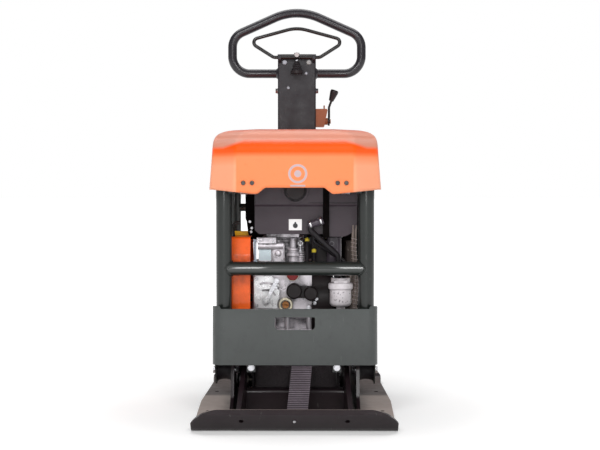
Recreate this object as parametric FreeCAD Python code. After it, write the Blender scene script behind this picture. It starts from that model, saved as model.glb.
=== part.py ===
"""A walk-behind reversible plate compactor with a single-cylinder diesel engine.

Millimetres, +Z up. The origin is on the ground under the middle of the sole plate. -Y is the machine's
front and +Y the end where its operator stands. "Left" and "right" are those of a person who faces
the front of the machine, so left is -X.

The sole plate carries the exciter and four rubber buffers. The upper frame hangs on the buffers and
carries the engine, the hood and the folding mast with its handle.
"""

import FreeCAD, Part
import math
import os
from FreeCAD import Vector

os.makedirs("parts", exist_ok=True)

# ---------------------------------------------------------------- driving dimensions

# Sole plate
PLATE_WIDTH = 600.0
PLATE_WAIST = 616.0            # the width half way along, where the sides bulge
PLATE_FLAT_HALF = 425.0        # the flat sole runs this far each way
PLATE_THICKNESS = 12.0
NOSE_THICKNESS = 22.0          # the turned-up ends are thicker
NOSE_RADIUS = 34.0             # outer radius of the turned-up ends
NOSE_ANGLE = 50.0              # how far they turn up, degrees
NOSE_STRAIGHT = 58.0
RIB_X = 186.0                  # inner face of the side ribs that hold the buffers
RIB_THICKNESS = 10.0

# Rubber buffers between the side ribs and the upper frame
BUFFER_Y = 190.0
BUFFER_Z = 142.0
BUFFER_RADIUS = 34.0
BUFFER_BOLT_RADIUS = 6.0

# Exciter: two geared shafts across the plate
EXCITER_HALF_X = 130.0
EXCITER_HALF_Y = 150.0
EXCITER_TOP = 176.0
EXCITER_WALL = 18.0            # the end walls, which hold the bearings
SHAFT_Z = 92.0
SHAFT_Y = 65.0                 # half the distance between the shafts
SHAFT_RADIUS = 17.5
WEIGHT_RADIUS = 56.0
BEARING_RADIUS = 36.0
GEAR_TEETH = 26
GEAR_MODULE = 2 * SHAFT_Y / GEAR_TEETH
RUNNING_CLEARANCE = 0.05

# Belt drive, on the left
BELT_X = -163.0
BELT_HEIGHT = 11.0
PULLEY_RADIUS = 65.0           # exciter pulley
DRUM_RADIUS = 60.0             # clutch drum
CRANK_Y = -40.0
CRANK_Z = 352.0

# Upper frame
SIDE_PLATE_X = 240.0           # inner face
SIDE_PLATE_THICKNESS = 4.0
DECK_Z = 196.0
DECK_THICKNESS = 8.0
DECK_TOP = DECK_Z + DECK_THICKNESS
BUMPER_Z = (173.0, 342.0)
BUMPER_CORNER = 30.0
HOOP_X = 215.5                 # centre plane of each side hoop
HOOP_RADIUS = 24.15            # 48.3 mm tube
HOOP_WALL = 3.0
HOOP_Y = 255.0                 # posts at +-HOOP_Y
HOOP_TOP = 820.0
CROSS_BAR_Y = 257.5             # of the front bar, a little ahead of the posts' centres
CROSS_BAR_Z = 460.0
CROSS_BAR_RADIUS = 21.2        # 42.4 mm tube

# Hood
HOOD_WALL = 4.0
HOOD_FRONT = -335.0
HOOD_BACK = 296.0
HOOD_TOP = 882.0
HOOD_BOTTOM = 685.0            # of the two front lobes
HOOD_HINGE_Y = -296.0
HOOD_HINGE_Z = 695.0

# Mast and handle
MAST_HALF = 66.0
MAST_Y = (305.0, 355.0)
MAST_Z = (408.0, 1150.0)
MAST_TOP = 1166.5              # of the cap
MAST_WALL = 3.0
PIVOT_Y = 330.0
PIVOT_Z = 430.0
PIN_RADIUS = 10.0
GRIP_RADIUS = 15.2
GRIP_HALF = 224.5
GRIP_Z = 1101.0                # lower bar of the handle
TRAVEL_BAR_Y = 292.0
TRAVEL_BAR_Z = 1154.0
TRAVEL_BAR_RADIUS = 6.0
VALVE_Y = 280.0
VALVE_TOP = 1107.0             # of the ledge that the plunger comes out of
THROTTLE_Y = 330.0
THROTTLE_Z = 935.0


# ---------------------------------------------------------------- helpers

AXES = {"x": Vector(1, 0, 0), "y": Vector(0, 1, 0), "z": Vector(0, 0, 1)}


def at(axis, along, first, second):
    """A point from its place along an axis and its two other coordinates, in X, Y, Z order."""
    if axis == "x":
        return Vector(along, first, second)
    if axis == "y":
        return Vector(first, along, second)
    return Vector(first, second, along)


def box(x, y, z):
    """A box from three (low, high) pairs."""
    return Part.makeBox(x[1] - x[0], y[1] - y[0], z[1] - z[0], Vector(x[0], y[0], z[0]))


def rod(axis, centre, radius, low, high):
    """A cylinder along an axis, from low to high, at centre on the two other axes."""
    return Part.makeCylinder(radius, high - low, at(axis, low, *centre), AXES[axis])


def ring(axis, centre, outer, inner, low, high):
    """A round tube along an axis."""
    return rod(axis, centre, outer, low, high).cut(rod(axis, centre, inner, low, high))


def cone(axis, centre, radius_low, radius_high, low, high):
    """A cone along an axis."""
    return Part.makeCone(radius_low, radius_high, high - low, at(axis, low, *centre), AXES[axis])


def fuse(first, *others):
    """One shape from several that touch or overlap, checked against losing any of them."""
    if not others:
        return first
    joined = first.fuse(list(others)).removeSplitter()
    if joined.Volume < 0.999 * max(s.Volume for s in (first,) + others):
        raise ValueError("a fuse lost material")
    return joined


def cut(shape, *tools):
    """The shape with the tools taken away."""
    return shape.cut(list(tools))


def largest(shape):
    """The biggest solid of a shape that was cut into several."""
    return max(shape.Solids, key=lambda solid: solid.Volume)


def mirror_x(shape):
    """The shape on the machine's other side."""
    return shape.mirror(Vector(0, 0, 0), AXES["x"])


def mirror_y(shape):
    """The shape at the machine's other end."""
    return shape.mirror(Vector(0, 0, 0), AXES["y"])


def corner_path(points, radii, closed=False):
    """Edges through the points, with an arc of the given radius at each corner. A radius of 0 is sharp."""
    points = [Vector(*p) for p in points]
    count = len(points)
    entries = []
    for i, corner in enumerate(points):
        radius = radii[i]
        if radius == 0 or (not closed and i in (0, count - 1)):
            entries.append((corner, None, corner))
            continue
        back = (points[i - 1] - corner).normalize()
        ahead = (points[(i + 1) % count] - corner).normalize()
        half = back.getAngle(ahead) / 2
        reach = radius / math.tan(half)
        middle = corner + (back + ahead).normalize() * (radius / math.sin(half) - radius)
        entries.append((corner + back * reach, middle, corner + ahead * reach))
    edges = []
    for i, (start, middle, end) in enumerate(entries):
        if middle is not None:
            edges.append(Part.Arc(start, middle, end).toShape())
        if closed or i < count - 1:
            following = entries[(i + 1) % count][0]
            if end.distanceToPoint(following) > 1e-6:
                edges.append(Part.LineSegment(end, following).toShape())
    return Part.Wire(edges)


def prism(axis, outline, low, high, radii=0.0):
    """An outline of (first, second) coordinates, extruded along an axis. Its corners may be rounded."""
    if not isinstance(radii, (list, tuple)):
        radii = [radii] * len(outline)
    wire = corner_path([at(axis, low, *p) for p in outline], radii, closed=True)
    return Part.Face(wire).extrude(AXES[axis] * (high - low))


def bent_rod(points, radii, radius, closed=False):
    """A round bar along straight runs and arcs."""
    path = corner_path(points, radii, closed)
    edge = path.OrderedEdges[0]
    start = edge.valueAt(edge.FirstParameter)
    tangent = edge.tangentAt(edge.FirstParameter)
    section = Part.Wire([Part.makeCircle(radius, start, tangent)])
    return path.makePipeShell([section], True, False)


def bent_tube(points, radii, radius, wall):
    """A bent tube with open ends."""
    return bent_rod(points, radii, radius).cut(bent_rod(points, radii, radius - wall))


def hexagon(axis, centre, across_flats, low, high):
    """A hexagonal bar, for bolt heads and nuts."""
    return prism(axis, around(centre, across_flats / math.sqrt(3), 6), low, high)


def hex_bolt(axis, centre, face, outward, size, shank):
    """A hexagon bolt of that metric size. Its washer lies on the face, outward is +1 or -1 along the
    axis, and the shank goes the other way."""
    spans = [(0.0, 0.18 * size), (0.18 * size, 0.85 * size), (-shank, 0.0)]
    (w0, w1), (h0, h1), (s0, s1) = [sorted((face + outward * a, face + outward * b)) for a, b in spans]
    washer = rod(axis, centre, 1.05 * size, w0, w1)
    head = hexagon(axis, centre, 1.6 * size, h0, h1)
    return fuse(washer, head, rod(axis, centre, size / 2, s0, s1))


def around(centre, radius, count, start=0.0):
    """Points evenly spaced on a circle, as pairs."""
    angles = [math.radians(start + 360 / count * i) for i in range(count)]
    return [(centre[0] + radius * math.cos(a), centre[1] + radius * math.sin(a)) for a in angles]


def rounded_box(x, y, z, radius, axis="z"):
    """A box with its four edges along one axis rounded."""
    spans = {"x": (y, z, x), "y": (x, z, y), "z": (x, y, z)}[axis]
    (a0, a1), (b0, b1), (low, high) = spans
    return prism(axis, [(a0, b0), (a1, b0), (a1, b1), (a0, b1)], low, high, radius)


def soften(shape, radius, chosen):
    """Fillets the edges that chosen(edge) picks. The shape stays as it is if the fillet can't be made."""
    edges = [e for e in shape.Edges if chosen(e)]
    try:
        rounded = shape.makeFillet(radius, edges)
    except Part.OCCError:
        return shape
    return rounded if rounded.isValid() and rounded.Volume > 0.5 * shape.Volume else shape


def save(name, *shapes):
    """Writes one node, after a check that each of its solids is sound."""
    solids = [s for shape in shapes for s in shape.Solids]
    for solid in solids:
        if not solid.isValid() or solid.Volume < 1.0:
            raise ValueError(f"{name} has an unsound solid")
    Part.makeCompound(solids).exportStep(f"parts/{name}.step")
    print(f"{name}: {len(solids)} solid(s), {sum(s.Volume for s in solids) / 1000:.0f} cm3")


# ---------------------------------------------------------------- sole plate


def nose_points(radius):
    """The front turned-up end of the plate at one face: arc start, arc middle, arc end, tip, as (y, z)."""
    angle = math.radians(NOSE_ANGLE)
    tip_y = math.cos(angle) * NOSE_STRAIGHT
    tip_z = math.sin(angle) * NOSE_STRAIGHT
    arc = [
        (-PLATE_FLAT_HALF - radius * math.sin(a), NOSE_RADIUS - radius * math.cos(a))
        for a in (0.0, angle / 2, angle)
    ]
    return arc + [(arc[2][0] - tip_y, arc[2][1] + tip_z)]


def plate_slab():
    """The bent plate before its corners are trimmed. It thickens towards both ends."""
    def point(y, z):
        return Vector(-PLATE_WAIST / 2, y, z)

    under = nose_points(NOSE_RADIUS)
    over = nose_points(NOSE_RADIUS - NOSE_THICKNESS)
    thin_end = -PLATE_FLAT_HALF + 40
    edges = []
    for side in (1, -1):
        low = [point(side * y, z) for y, z in under]
        high = [point(side * y, z) for y, z in over]
        for chain in (low, high):
            edges.append(Part.Arc(*chain[:3]).toShape())
            edges.append(Part.LineSegment(chain[2], chain[3]).toShape())
        edges.append(Part.LineSegment(low[3], high[3]).toShape())
        edges.append(Part.LineSegment(high[0], point(side * thin_end, PLATE_THICKNESS)).toShape())
    for y, z in (under[0], (thin_end, PLATE_THICKNESS)):
        edges.append(Part.LineSegment(point(y, z), point(-y, z)).toShape())
    wire = Part.Wire(Part.__sortEdges__(edges))
    return Part.Face(wire).extrude(AXES["x"] * PLATE_WAIST)


def plate_outline():
    """The plate seen from the front: full width at the sole, with the ends' corners rounded off."""
    half, end = PLATE_WAIST / 2, PLATE_FLAT_HALF + NOSE_RADIUS + NOSE_STRAIGHT
    corners = [(half, 15.0), (274.0, 52.0), (222.0, 69.0)]
    right = [Vector(x, -end, z) for x, z in corners]
    left = [Vector(-x, -end, z) for x, z in corners]
    bottom_right, bottom_left = Vector(half, -end, -1), Vector(-half, -end, -1)
    edges = [
        Part.LineSegment(bottom_left, bottom_right).toShape(),
        Part.LineSegment(bottom_right, right[0]).toShape(),
        Part.Arc(*right).toShape(),
        Part.LineSegment(right[2], left[2]).toShape(),
        Part.Arc(left[2], left[1], left[0]).toShape(),
        Part.LineSegment(left[0], bottom_left).toShape(),
    ]
    return Part.Face(Part.Wire(edges)).extrude(AXES["y"] * (2 * end))


NOSE_HOLE_X = 153.0
NOSE_HOLE_RADIUS = 7.0
EXTENSION_HOLES = (270.0, 180.0)   # half spacings of the holes for bolt-on side plates
EXTENSION_HOLE_RADIUS = 7.0


def nose_normal():
    """The middle of the front lip's outer face, as (y, z), and the way that face looks."""
    arc_end, tip = nose_points(NOSE_RADIUS)[2:]
    angle = math.radians(NOSE_ANGLE)
    middle = ((arc_end[0] + tip[0]) / 2, (arc_end[1] + tip[1]) / 2)
    return middle, Vector(0, -math.sin(angle), -math.cos(angle))


def nose_drill(x, radius):
    """A drill through the front lip, square to it."""
    (y, z), outward = nose_normal()
    start = Vector(x, y, z) + outward * 5
    return Part.makeCylinder(radius, PLATE_THICKNESS + 10, start, outward * -1)


def plate_plan():
    """The plate seen from above: sides that bulge to the waist, and ears at the four corners."""
    waist, half, inner = PLATE_WAIST / 2, PLATE_WIDTH / 2, PLATE_WIDTH / 2 - 5
    ear, end = PLATE_FLAT_HALF - 5, PLATE_FLAT_HALF + NOSE_RADIUS + NOSE_STRAIGHT
    quarter = [(waist, 0), (inner + 1, ear - 12), (half, ear), (half, end)]
    right = [(x, -y) for x, y in reversed(quarter)] + quarter[1:]
    return prism("z", right + [(-x, y) for x, y in reversed(right)], -5, 120)


def make_base_plate():
    plate = plate_slab().common(plate_outline()).common(plate_plan())
    drills = [nose_drill(x, NOSE_HOLE_RADIUS) for x in (-NOSE_HOLE_X, NOSE_HOLE_X)]
    drills.append(nose_drill(0.0, 5.0))
    for x in (-EXTENSION_HOLES[0], EXTENSION_HOLES[0]):
        for y in (-EXTENSION_HOLES[1], EXTENSION_HOLES[1]):
            drills.append(rod("z", (x, y), EXTENSION_HOLE_RADIUS, -5, 20))
    return cut(plate, *drills)


def make_base_ribs(plate):
    """Two side ribs with a tower for each buffer, and a slanting gusset towards each corner."""
    half = [(-335, 12), (-320, 40), (-266, 66), (-238, 178), (-142, 178), (-116, 84)]
    outline = half + [(-y, z) for y, z in reversed(half)]
    rib = prism("x", outline, RIB_X, RIB_X + RIB_THICKNESS, [0, 8, 14, 14, 14, 14, 14, 14, 14, 14, 8, 0])
    rib = cut(rib, *[rod("x", (y, BUFFER_Z), BUFFER_BOLT_RADIUS, 180, 200) for y in (-BUFFER_Y, BUFFER_Y)])
    gusset = prism("x", [(-440, 5), (-440, 58), (-426, 58), (-186, 168), (-170, 168), (-170, 5)], 153, 167)
    gusset.rotate(Vector(160, -300, 0), AXES["z"], 1.5)
    gusset = largest(cut(gusset, plate))
    corners = [gusset, mirror_y(gusset), mirror_x(gusset), mirror_x(mirror_y(gusset))]
    web = prism("x", [(-214, 12), (-214, 86), (-178, 86), (-178, 80), (-208, 80), (-208, 12)], -153, 153,
                [0, 12, 0, 0, 6, 0])
    web = largest(cut(web, *corners))
    return [rib, mirror_x(rib)] + corners + [web, mirror_y(web)]


# ---------------------------------------------------------------- exciter


def make_exciter_housing():
    outer = rounded_box((-EXCITER_HALF_X, EXCITER_HALF_X), (-EXCITER_HALF_Y, EXCITER_HALF_Y),
                        (PLATE_THICKNESS, EXCITER_TOP), 16)
    outer = soften(outer, 10, lambda e: e.BoundBox.ZMin > EXCITER_TOP - 0.1)
    inside = EXCITER_HALF_X - EXCITER_WALL
    cavity = box((-inside, inside), (-140, 140), (20, 166))
    bores = [rod("x", (y, SHAFT_Z), BEARING_RADIUS, -140, 140) for y in (-SHAFT_Y, SHAFT_Y)]
    ribs = [box((x - 5, x + 5), (-118, 118), (EXCITER_TOP - 1, EXCITER_TOP + 5)) for x in (-75, 0, 75)]
    flanges = [
        rounded_box((-118, 118), (side * 164 - 16, side * 164 + 16), (PLATE_THICKNESS, 30), 8)
        for side in (-1, 1)
    ]
    body = cut(fuse(outer, *ribs, *flanges), cavity, *bores)
    holes = [rod("z", (x, y), 6, 5, 40) for x in (-100, -34, 34, 100) for y in (-168, 168)]
    return cut(body, *holes)


def make_exciter_bearings():
    low, high = EXCITER_HALF_X - EXCITER_WALL, EXCITER_HALF_X
    rings = []
    for y in (-SHAFT_Y, SHAFT_Y):
        one = ring("x", (y, SHAFT_Z), BEARING_RADIUS, SHAFT_RADIUS + RUNNING_CLEARANCE, low, high)
        groove = ring("x", (y, SHAFT_Z), 31, 23, high - 1.5, high)
        one = cut(one, groove)
        rings += [one, mirror_x(one)]
    return rings


def make_bearing_covers():
    """Four end covers. The front left one lets the drive stub through, and the rear right one is the
    oil-pressure cylinder that turns one weight against the other to change the direction of travel."""
    low = EXCITER_HALF_X
    covers = []
    for side in (-1, 1):
        for y in (-SHAFT_Y, SHAFT_Y):
            disc = rod("x", (y, SHAFT_Z), 52, low, low + 7)
            boss = rod("x", (y, SHAFT_Z), 30, low + 7, low + 9.5)
            cover = fuse(disc, boss)
            if side == 1 and y > 0:
                cylinder = rod("x", (y, SHAFT_Z), 37, low + 7, low + 42)
                port = rod("z", (low + 26, y), 8, SHAFT_Z + 30, SHAFT_Z + 52)
                cover = cut(fuse(cover, cylinder, port), rod("x", (y, SHAFT_Z), 20, low - 1, low + 30))
            holes = [rod("x", p, 3, low - 1, low + 10) for p in cover_bolt_places(y)]
            cover = cut(cover, *holes)
            if side == -1:
                cover = mirror_x(cover)
                if y < 0:
                    cover = cut(cover, rod("x", (y, SHAFT_Z), SHAFT_RADIUS + 1.5, -low - 12, -low + 1))
            covers.append(cover)
    return covers


def cover_bolt_places(y):
    """Centres of a bearing cover's six bolts, as (y, z)."""
    return around((y, SHAFT_Z), 44, 6, 30)


def gear(y, x, phase):
    """An involute spur gear on a shaft, a little thin in the tooth so that the pair runs with backlash."""
    pitch = GEAR_MODULE * GEAR_TEETH / 2
    base = pitch * math.cos(math.radians(20))
    tip, root = pitch + 0.9 * GEAR_MODULE, pitch - 1.2 * GEAR_MODULE
    backlash = 0.35
    half_pitch_tooth = math.pi / (2 * GEAR_TEETH) - backlash / (2 * pitch)

    def involute(radius):
        roll = math.sqrt((radius / base) ** 2 - 1)
        return roll - math.atan(roll)

    steps = 5
    flank = []
    for i in range(steps + 1):
        radius = base + (tip - base) * i / steps
        flank.append((radius, half_pitch_tooth + involute(pitch) - involute(radius)))
    tooth = [(root, flank[0][1])] + flank
    outline = []
    for n in range(GEAR_TEETH):
        centre = 2 * math.pi * n / GEAR_TEETH + phase
        for radius, angle in [(r, -a) for r, a in tooth] + list(reversed(tooth)):
            turn = centre + angle
            outline.append((y + radius * math.cos(turn), SHAFT_Z + radius * math.sin(turn)))
    body = prism("x", outline, *x)
    lightening = [
        rod("x", (y + 38 * math.cos(a), SHAFT_Z + 38 * math.sin(a)), 8, *x)
        for a in [phase + math.radians(60 * i) for i in range(6)]
    ]
    return cut(body, rod("x", (y, SHAFT_Z), SHAFT_RADIUS, *x), *lightening)


def eccentric_shaft(y, ends, weight_spans):
    """A shaft with heavy half-round weights, which hang down at rest."""
    shaft = rod("x", (y, SHAFT_Z), SHAFT_RADIUS, *ends)
    weights = []
    for low, high in weight_spans:
        disc = rod("x", (y, SHAFT_Z), WEIGHT_RADIUS, low, high)
        upper = box((low, high), (y - 60, y + 60), (SHAFT_Z + 4, SHAFT_Z + 60))
        weights.append(fuse(cut(disc, upper), rod("x", (y, SHAFT_Z), 25, low, high)))
    return fuse(shaft, *weights)


GROOVE_HALF_WIDTH = 8.8          # at the rim
GROOVE_DEPTH = 14.0
GROOVE_SLOPE = math.tan(math.radians(17))


def grooved_wheel(centre, radius, half_width):
    """A wheel with one V groove, turning about X, centred on the belt's plane."""
    rim = GROOVE_HALF_WIDTH
    bottom = rim - GROOVE_DEPTH * GROOVE_SLOPE
    wheel = rod("x", centre, radius, BELT_X - half_width, BELT_X + half_width)
    section = [
        (BELT_X - rim, radius + 0.01), (BELT_X - bottom, radius - GROOVE_DEPTH),
        (BELT_X + bottom, radius - GROOVE_DEPTH), (BELT_X + rim, radius + 0.01),
    ]
    face = Part.Face(corner_path([Vector(x, centre[0], centre[1] + r) for x, r in section], [0] * 4, True))
    groove = face.revolve(Vector(0, *centre), AXES["x"], 360)
    return cut(wheel, groove)


def make_exciter_pulley():
    centre = (-SHAFT_Y, SHAFT_Z)
    wheel = grooved_wheel(centre, PULLEY_RADIUS, 14)
    dish = ring("x", centre, 46, 27, BELT_X - 14, BELT_X - 8)
    back_dish = ring("x", centre, 46, 27, BELT_X + 8, BELT_X + 14)
    wheel = cut(wheel, rod("x", centre, SHAFT_RADIUS, -200, -140), dish, back_dish)
    nut = cut(hexagon("x", centre, 46, BELT_X - 22, BELT_X - 14), rod("x", centre, SHAFT_RADIUS, -200, -140))
    return fuse(wheel, nut)


def make_drive_belt():
    """A V belt round the exciter pulley and the clutch drum, made of two arcs and two straight runs."""
    low, high = (-SHAFT_Y, SHAFT_Z), (CRANK_Y, CRANK_Z)
    r_low, r_high = PULLEY_RADIUS - BELT_HEIGHT / 2, DRUM_RADIUS - BELT_HEIGHT / 2
    dy, dz = high[0] - low[0], high[1] - low[1]
    distance = math.hypot(dy, dz)
    heading = math.atan2(dz, dy)
    lean = math.acos((r_low - r_high) / distance)

    def on(centre, radius, angle):
        return Vector(BELT_X, centre[0] + radius * math.cos(angle), centre[1] + radius * math.sin(angle))

    right, left = heading - lean, heading + lean
    edges = [
        Part.Arc(on(low, r_low, left), on(low, r_low, heading + math.pi), on(low, r_low, right)).toShape(),
        Part.LineSegment(on(low, r_low, right), on(high, r_high, right)).toShape(),
        Part.Arc(on(high, r_high, right), on(high, r_high, heading), on(high, r_high, left)).toShape(),
        Part.LineSegment(on(high, r_high, left), on(low, r_low, left)).toShape(),
    ]
    path = Part.Wire(edges)
    gap = 0.25
    start = on(low, r_low, left)
    outward = (start - Vector(BELT_X, *low)).normalize()
    half_out = GROOVE_HALF_WIDTH - gap
    half_in = half_out - BELT_HEIGHT * GROOVE_SLOPE
    corners = [
        start + outward * (BELT_HEIGHT / 2) + Vector(half_out, 0, 0),
        start + outward * (BELT_HEIGHT / 2) - Vector(half_out, 0, 0),
        start - outward * (BELT_HEIGHT / 2) - Vector(half_in, 0, 0),
        start - outward * (BELT_HEIGHT / 2) + Vector(half_in, 0, 0),
    ]
    section = corner_path(corners, [0] * 4, closed=True)
    return path.makePipeShell([section], True, False)


def make_shock_buffers():
    """Four rubber buffers on their side, between the ribs and the frame's side plates."""
    low, high = RIB_X + RIB_THICKNESS, SIDE_PLATE_X
    buffers = []
    for y in (-BUFFER_Y, BUFFER_Y):
        body = rod("x", (y, BUFFER_Z), BUFFER_RADIUS, low, high)
        waist = ring("x", (y, BUFFER_Z), BUFFER_RADIUS + 1, BUFFER_RADIUS - 5, low + 9, high - 9)
        core = rod("x", (y, BUFFER_Z), BUFFER_BOLT_RADIUS, low, low + 12)
        far_core = rod("x", (y, BUFFER_Z), BUFFER_BOLT_RADIUS + 0.4, high - 12, high)
        one = cut(body, waist, core, far_core)
        buffers += [one, mirror_x(one)]
    return buffers


def make_limit_strap():
    """A rubber strap from the front lip up to the deck, which stops the frame lifting off."""
    outline = [Vector(-24, -424, 38), Vector(37, -424, 38), Vector(53, -283, 186), Vector(-8, -283, 186)]
    face = Part.Face(Part.makePolygon(outline + outline[:1]))
    along = (outline[3] - outline[0]).normalize()
    return face.extrude(AXES["x"].cross(along).normalize() * 5)


# ---------------------------------------------------------------- upper frame


def make_side_plates():
    """Each side plate reaches down over its two buffers."""
    half = [(-276, 200), (-236, 104), (-144, 104), (-112, 170)]
    upper = [(290, 330), (210, 330), (160, 262), (-160, 262), (-210, 340), (-276, 340)]
    outline = half + [(112, 170), (144, 104), (236, 104), (290, 200)] + upper
    plate = prism("x", outline, SIDE_PLATE_X, SIDE_PLATE_X + SIDE_PLATE_THICKNESS, 14)
    holes = [rod("x", (y, BUFFER_Z), BUFFER_BOLT_RADIUS, 230, 250) for y in (-BUFFER_Y, BUFFER_Y)]
    plate = cut(plate, *holes)
    return [plate, mirror_x(plate)]


BUMPER_HALF = 249.0
BUMPER_FRONT = -310.0
BUMPER_WALL = 5.0
BUMPER_EAR_TOP = 350.0


def make_bumper():
    """A bent sheet round the front corners, with a hand slot."""
    low, high = BUMPER_Z
    inner = BUMPER_HALF - BUMPER_WALL
    outside = [(-BUMPER_HALF, -150), (-BUMPER_HALF, BUMPER_FRONT), (BUMPER_HALF, BUMPER_FRONT),
               (BUMPER_HALF, -150)]
    inside = [(-inner, -140), (-inner, BUMPER_FRONT + BUMPER_WALL), (inner, BUMPER_FRONT + BUMPER_WALL),
              (inner, -140)]
    sheet = prism("z", outside, low, BUMPER_EAR_TOP, [0, BUMPER_CORNER, BUMPER_CORNER, 0])
    corner = BUMPER_CORNER - BUMPER_WALL
    sheet = cut(sheet, prism("z", inside, low - 1, BUMPER_EAR_TOP + 1, [0, corner, corner, 0]))
    slot = prism("y", [(-60, 279), (60, 279), (60, 317), (-60, 317)], -330, -290, [12, 12, 4, 4])
    between_ears = prism("y", [(-222, high), (222, high), (230, 360), (-230, 360)], -330, -290)
    behind_ears = prism("x", [(-296, 360), (-296, BUMPER_EAR_TOP), (-140, 318), (-140, 360)], -260, 260)
    return cut(sheet, slot, between_ears, behind_ears)


DECK_TAB_X = (-132.0, 126.0)
DECK_TAB_Z = 164.0
DECK_TAB_FACE = -296.0


def make_engine_deck(strap):
    """The deck between the side plates, with a slot for the belt, a block that holds the strap and two
    tabs that hang down behind the bumper."""
    front = BUMPER_FRONT + BUMPER_WALL
    corner = BUMPER_CORNER - BUMPER_WALL + 2
    outline = [(-SIDE_PLATE_X, front), (SIDE_PLATE_X, front), (SIDE_PLATE_X, 282), (-SIDE_PLATE_X, 282)]
    deck = prism("z", outline, DECK_Z, DECK_TOP, [corner, corner, 0, 0])
    block = box((-8, 52), (-292, -268), (168, DECK_Z))
    tabs = [box((x - 13, x + 13), (DECK_TAB_FACE, DECK_TAB_FACE + 6), (150, DECK_Z)) for x in DECK_TAB_X]
    slot = rounded_box((-186, -140), (-142, 40), (DECK_Z - 1, DECK_TOP + 1), 10)
    tab_holes = [rod("y", (x, DECK_TAB_Z), 5, -310, -280) for x in DECK_TAB_X]
    return cut(fuse(deck, block, *tabs), slot, strap, *tab_holes)


def post(x, y):
    """The space inside a hoop post's outer surface, for coping what meets it."""
    return rod("z", (x, y), HOOP_RADIUS, DECK_TOP, HOOP_TOP)


def make_side_hoops():
    """One bent tube on each side, standing on the deck."""
    points = [(-HOOP_X, -HOOP_Y, DECK_TOP), (-HOOP_X, -HOOP_Y, HOOP_TOP), (-HOOP_X, HOOP_Y, HOOP_TOP),
              (-HOOP_X, HOOP_Y, DECK_TOP)]
    left = bent_tube(points, [0, 90, 90, 0], HOOP_RADIUS, HOOP_WALL)
    return [left, mirror_x(left)]


LIFT_BAR_Z = 800.0
LIFT_EYE_Z = 852.0
REAR_BAR_Z = 636.0
REAR_BAR_RADIUS = 13.5


def make_cross_bars():
    """The front guard bar, the rear bar the mast leans on, and the top bar with the lifting eye."""
    front = ring("x", (-CROSS_BAR_Y, CROSS_BAR_Z), CROSS_BAR_RADIUS, CROSS_BAR_RADIUS - 3, -HOOP_X, HOOP_X)
    rear = ring("x", (HOOP_Y, REAR_BAR_Z), REAR_BAR_RADIUS, REAR_BAR_RADIUS - 3, -HOOP_X, HOOP_X)
    lift = ring("x", (0, LIFT_BAR_Z), CROSS_BAR_RADIUS, CROSS_BAR_RADIUS - 3, -HOOP_X, HOOP_X)
    eye = prism("x", [(-42, 812), (42, 812), (26, LIFT_EYE_Z), (26, 878), (-26, 878), (-26, LIFT_EYE_Z)],
                -8, 8, [0, 0, 10, 22, 22, 10])
    lift = cut(fuse(lift, eye), rod("x", (0, LIFT_EYE_Z), 16, -10, 10))
    bars = []
    for bar, y in ((front, -HOOP_Y), (rear, HOOP_Y)):
        bars.append(cut(bar, post(-HOOP_X, y), post(HOOP_X, y)))
    rails = [rod("y", (x, HOOP_TOP), HOOP_RADIUS, -60, 60) for x in (-HOOP_X, HOOP_X)]
    bars.append(cut(lift, *rails))
    return bars


def make_mast_bracket():
    """A cross plate at the back with two ears, and the pin that the mast turns on."""
    plate = prism("y", [(-240, 204), (240, 204), (240, 326), (110, 400), (-110, 400), (-240, 326)],
                  282, 290, [0, 0, 20, 30, 30, 20])
    ear = prism("x", [(290, 206), (290, 470), (316, 470), (360, 446), (360, 410), (304, 300), (304, 206)],
                67, 77, [0, 12, 20, 22, 22, 30, 8])
    ear = cut(ear, rod("x", (PIVOT_Y, PIVOT_Z), PIN_RADIUS, 60, 80))
    pin = fuse(
        rod("x", (PIVOT_Y, PIVOT_Z), PIN_RADIUS, -77, 77),
        rod("x", (PIVOT_Y, PIVOT_Z), 16, -84, -77),
        rod("x", (PIVOT_Y, PIVOT_Z), 16, 77, 84),
    )
    return [fuse(plate, ear, mirror_x(ear)), pin]


def make_mast_stop():
    block = rounded_box((-30, 30), (HOOP_Y, MAST_Y[0] - 0.5), (620, 652), 5, "y")
    return cut(block, rod("x", (HOOP_Y, REAR_BAR_Z), REAR_BAR_RADIUS, -40, 40))


def make_hood_hinge_pins():
    """Two pins welded to the front posts, which the hood turns on."""
    block = rounded_box((187, 199), (HOOD_HINGE_Y - 8, -HOOP_Y),
                        (HOOD_HINGE_Z - 8, HOOD_HINGE_Z + 17), 6, "x")
    pin = rod("x", (HOOD_HINGE_Y, HOOD_HINGE_Z), 7, 106, 192)
    one = cut(fuse(block, pin), post(HOOP_X, -HOOP_Y))
    return [one, mirror_x(one)]


# ---------------------------------------------------------------- hood


def hood_wire(z, half, front, back, flat, corner):
    """The hood's plan outline at one height: a flat front with a slanting corner on each side."""
    slant = half - flat
    points = [
        (-flat, front, z), (flat, front, z), (half, front + slant, z), (half, back, z),
        (-half, back, z), (-half, front + slant, z),
    ]
    return corner_path(points, [corner * 0.6, corner * 0.6, corner, corner * 0.6, corner * 0.6, corner], True)


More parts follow.
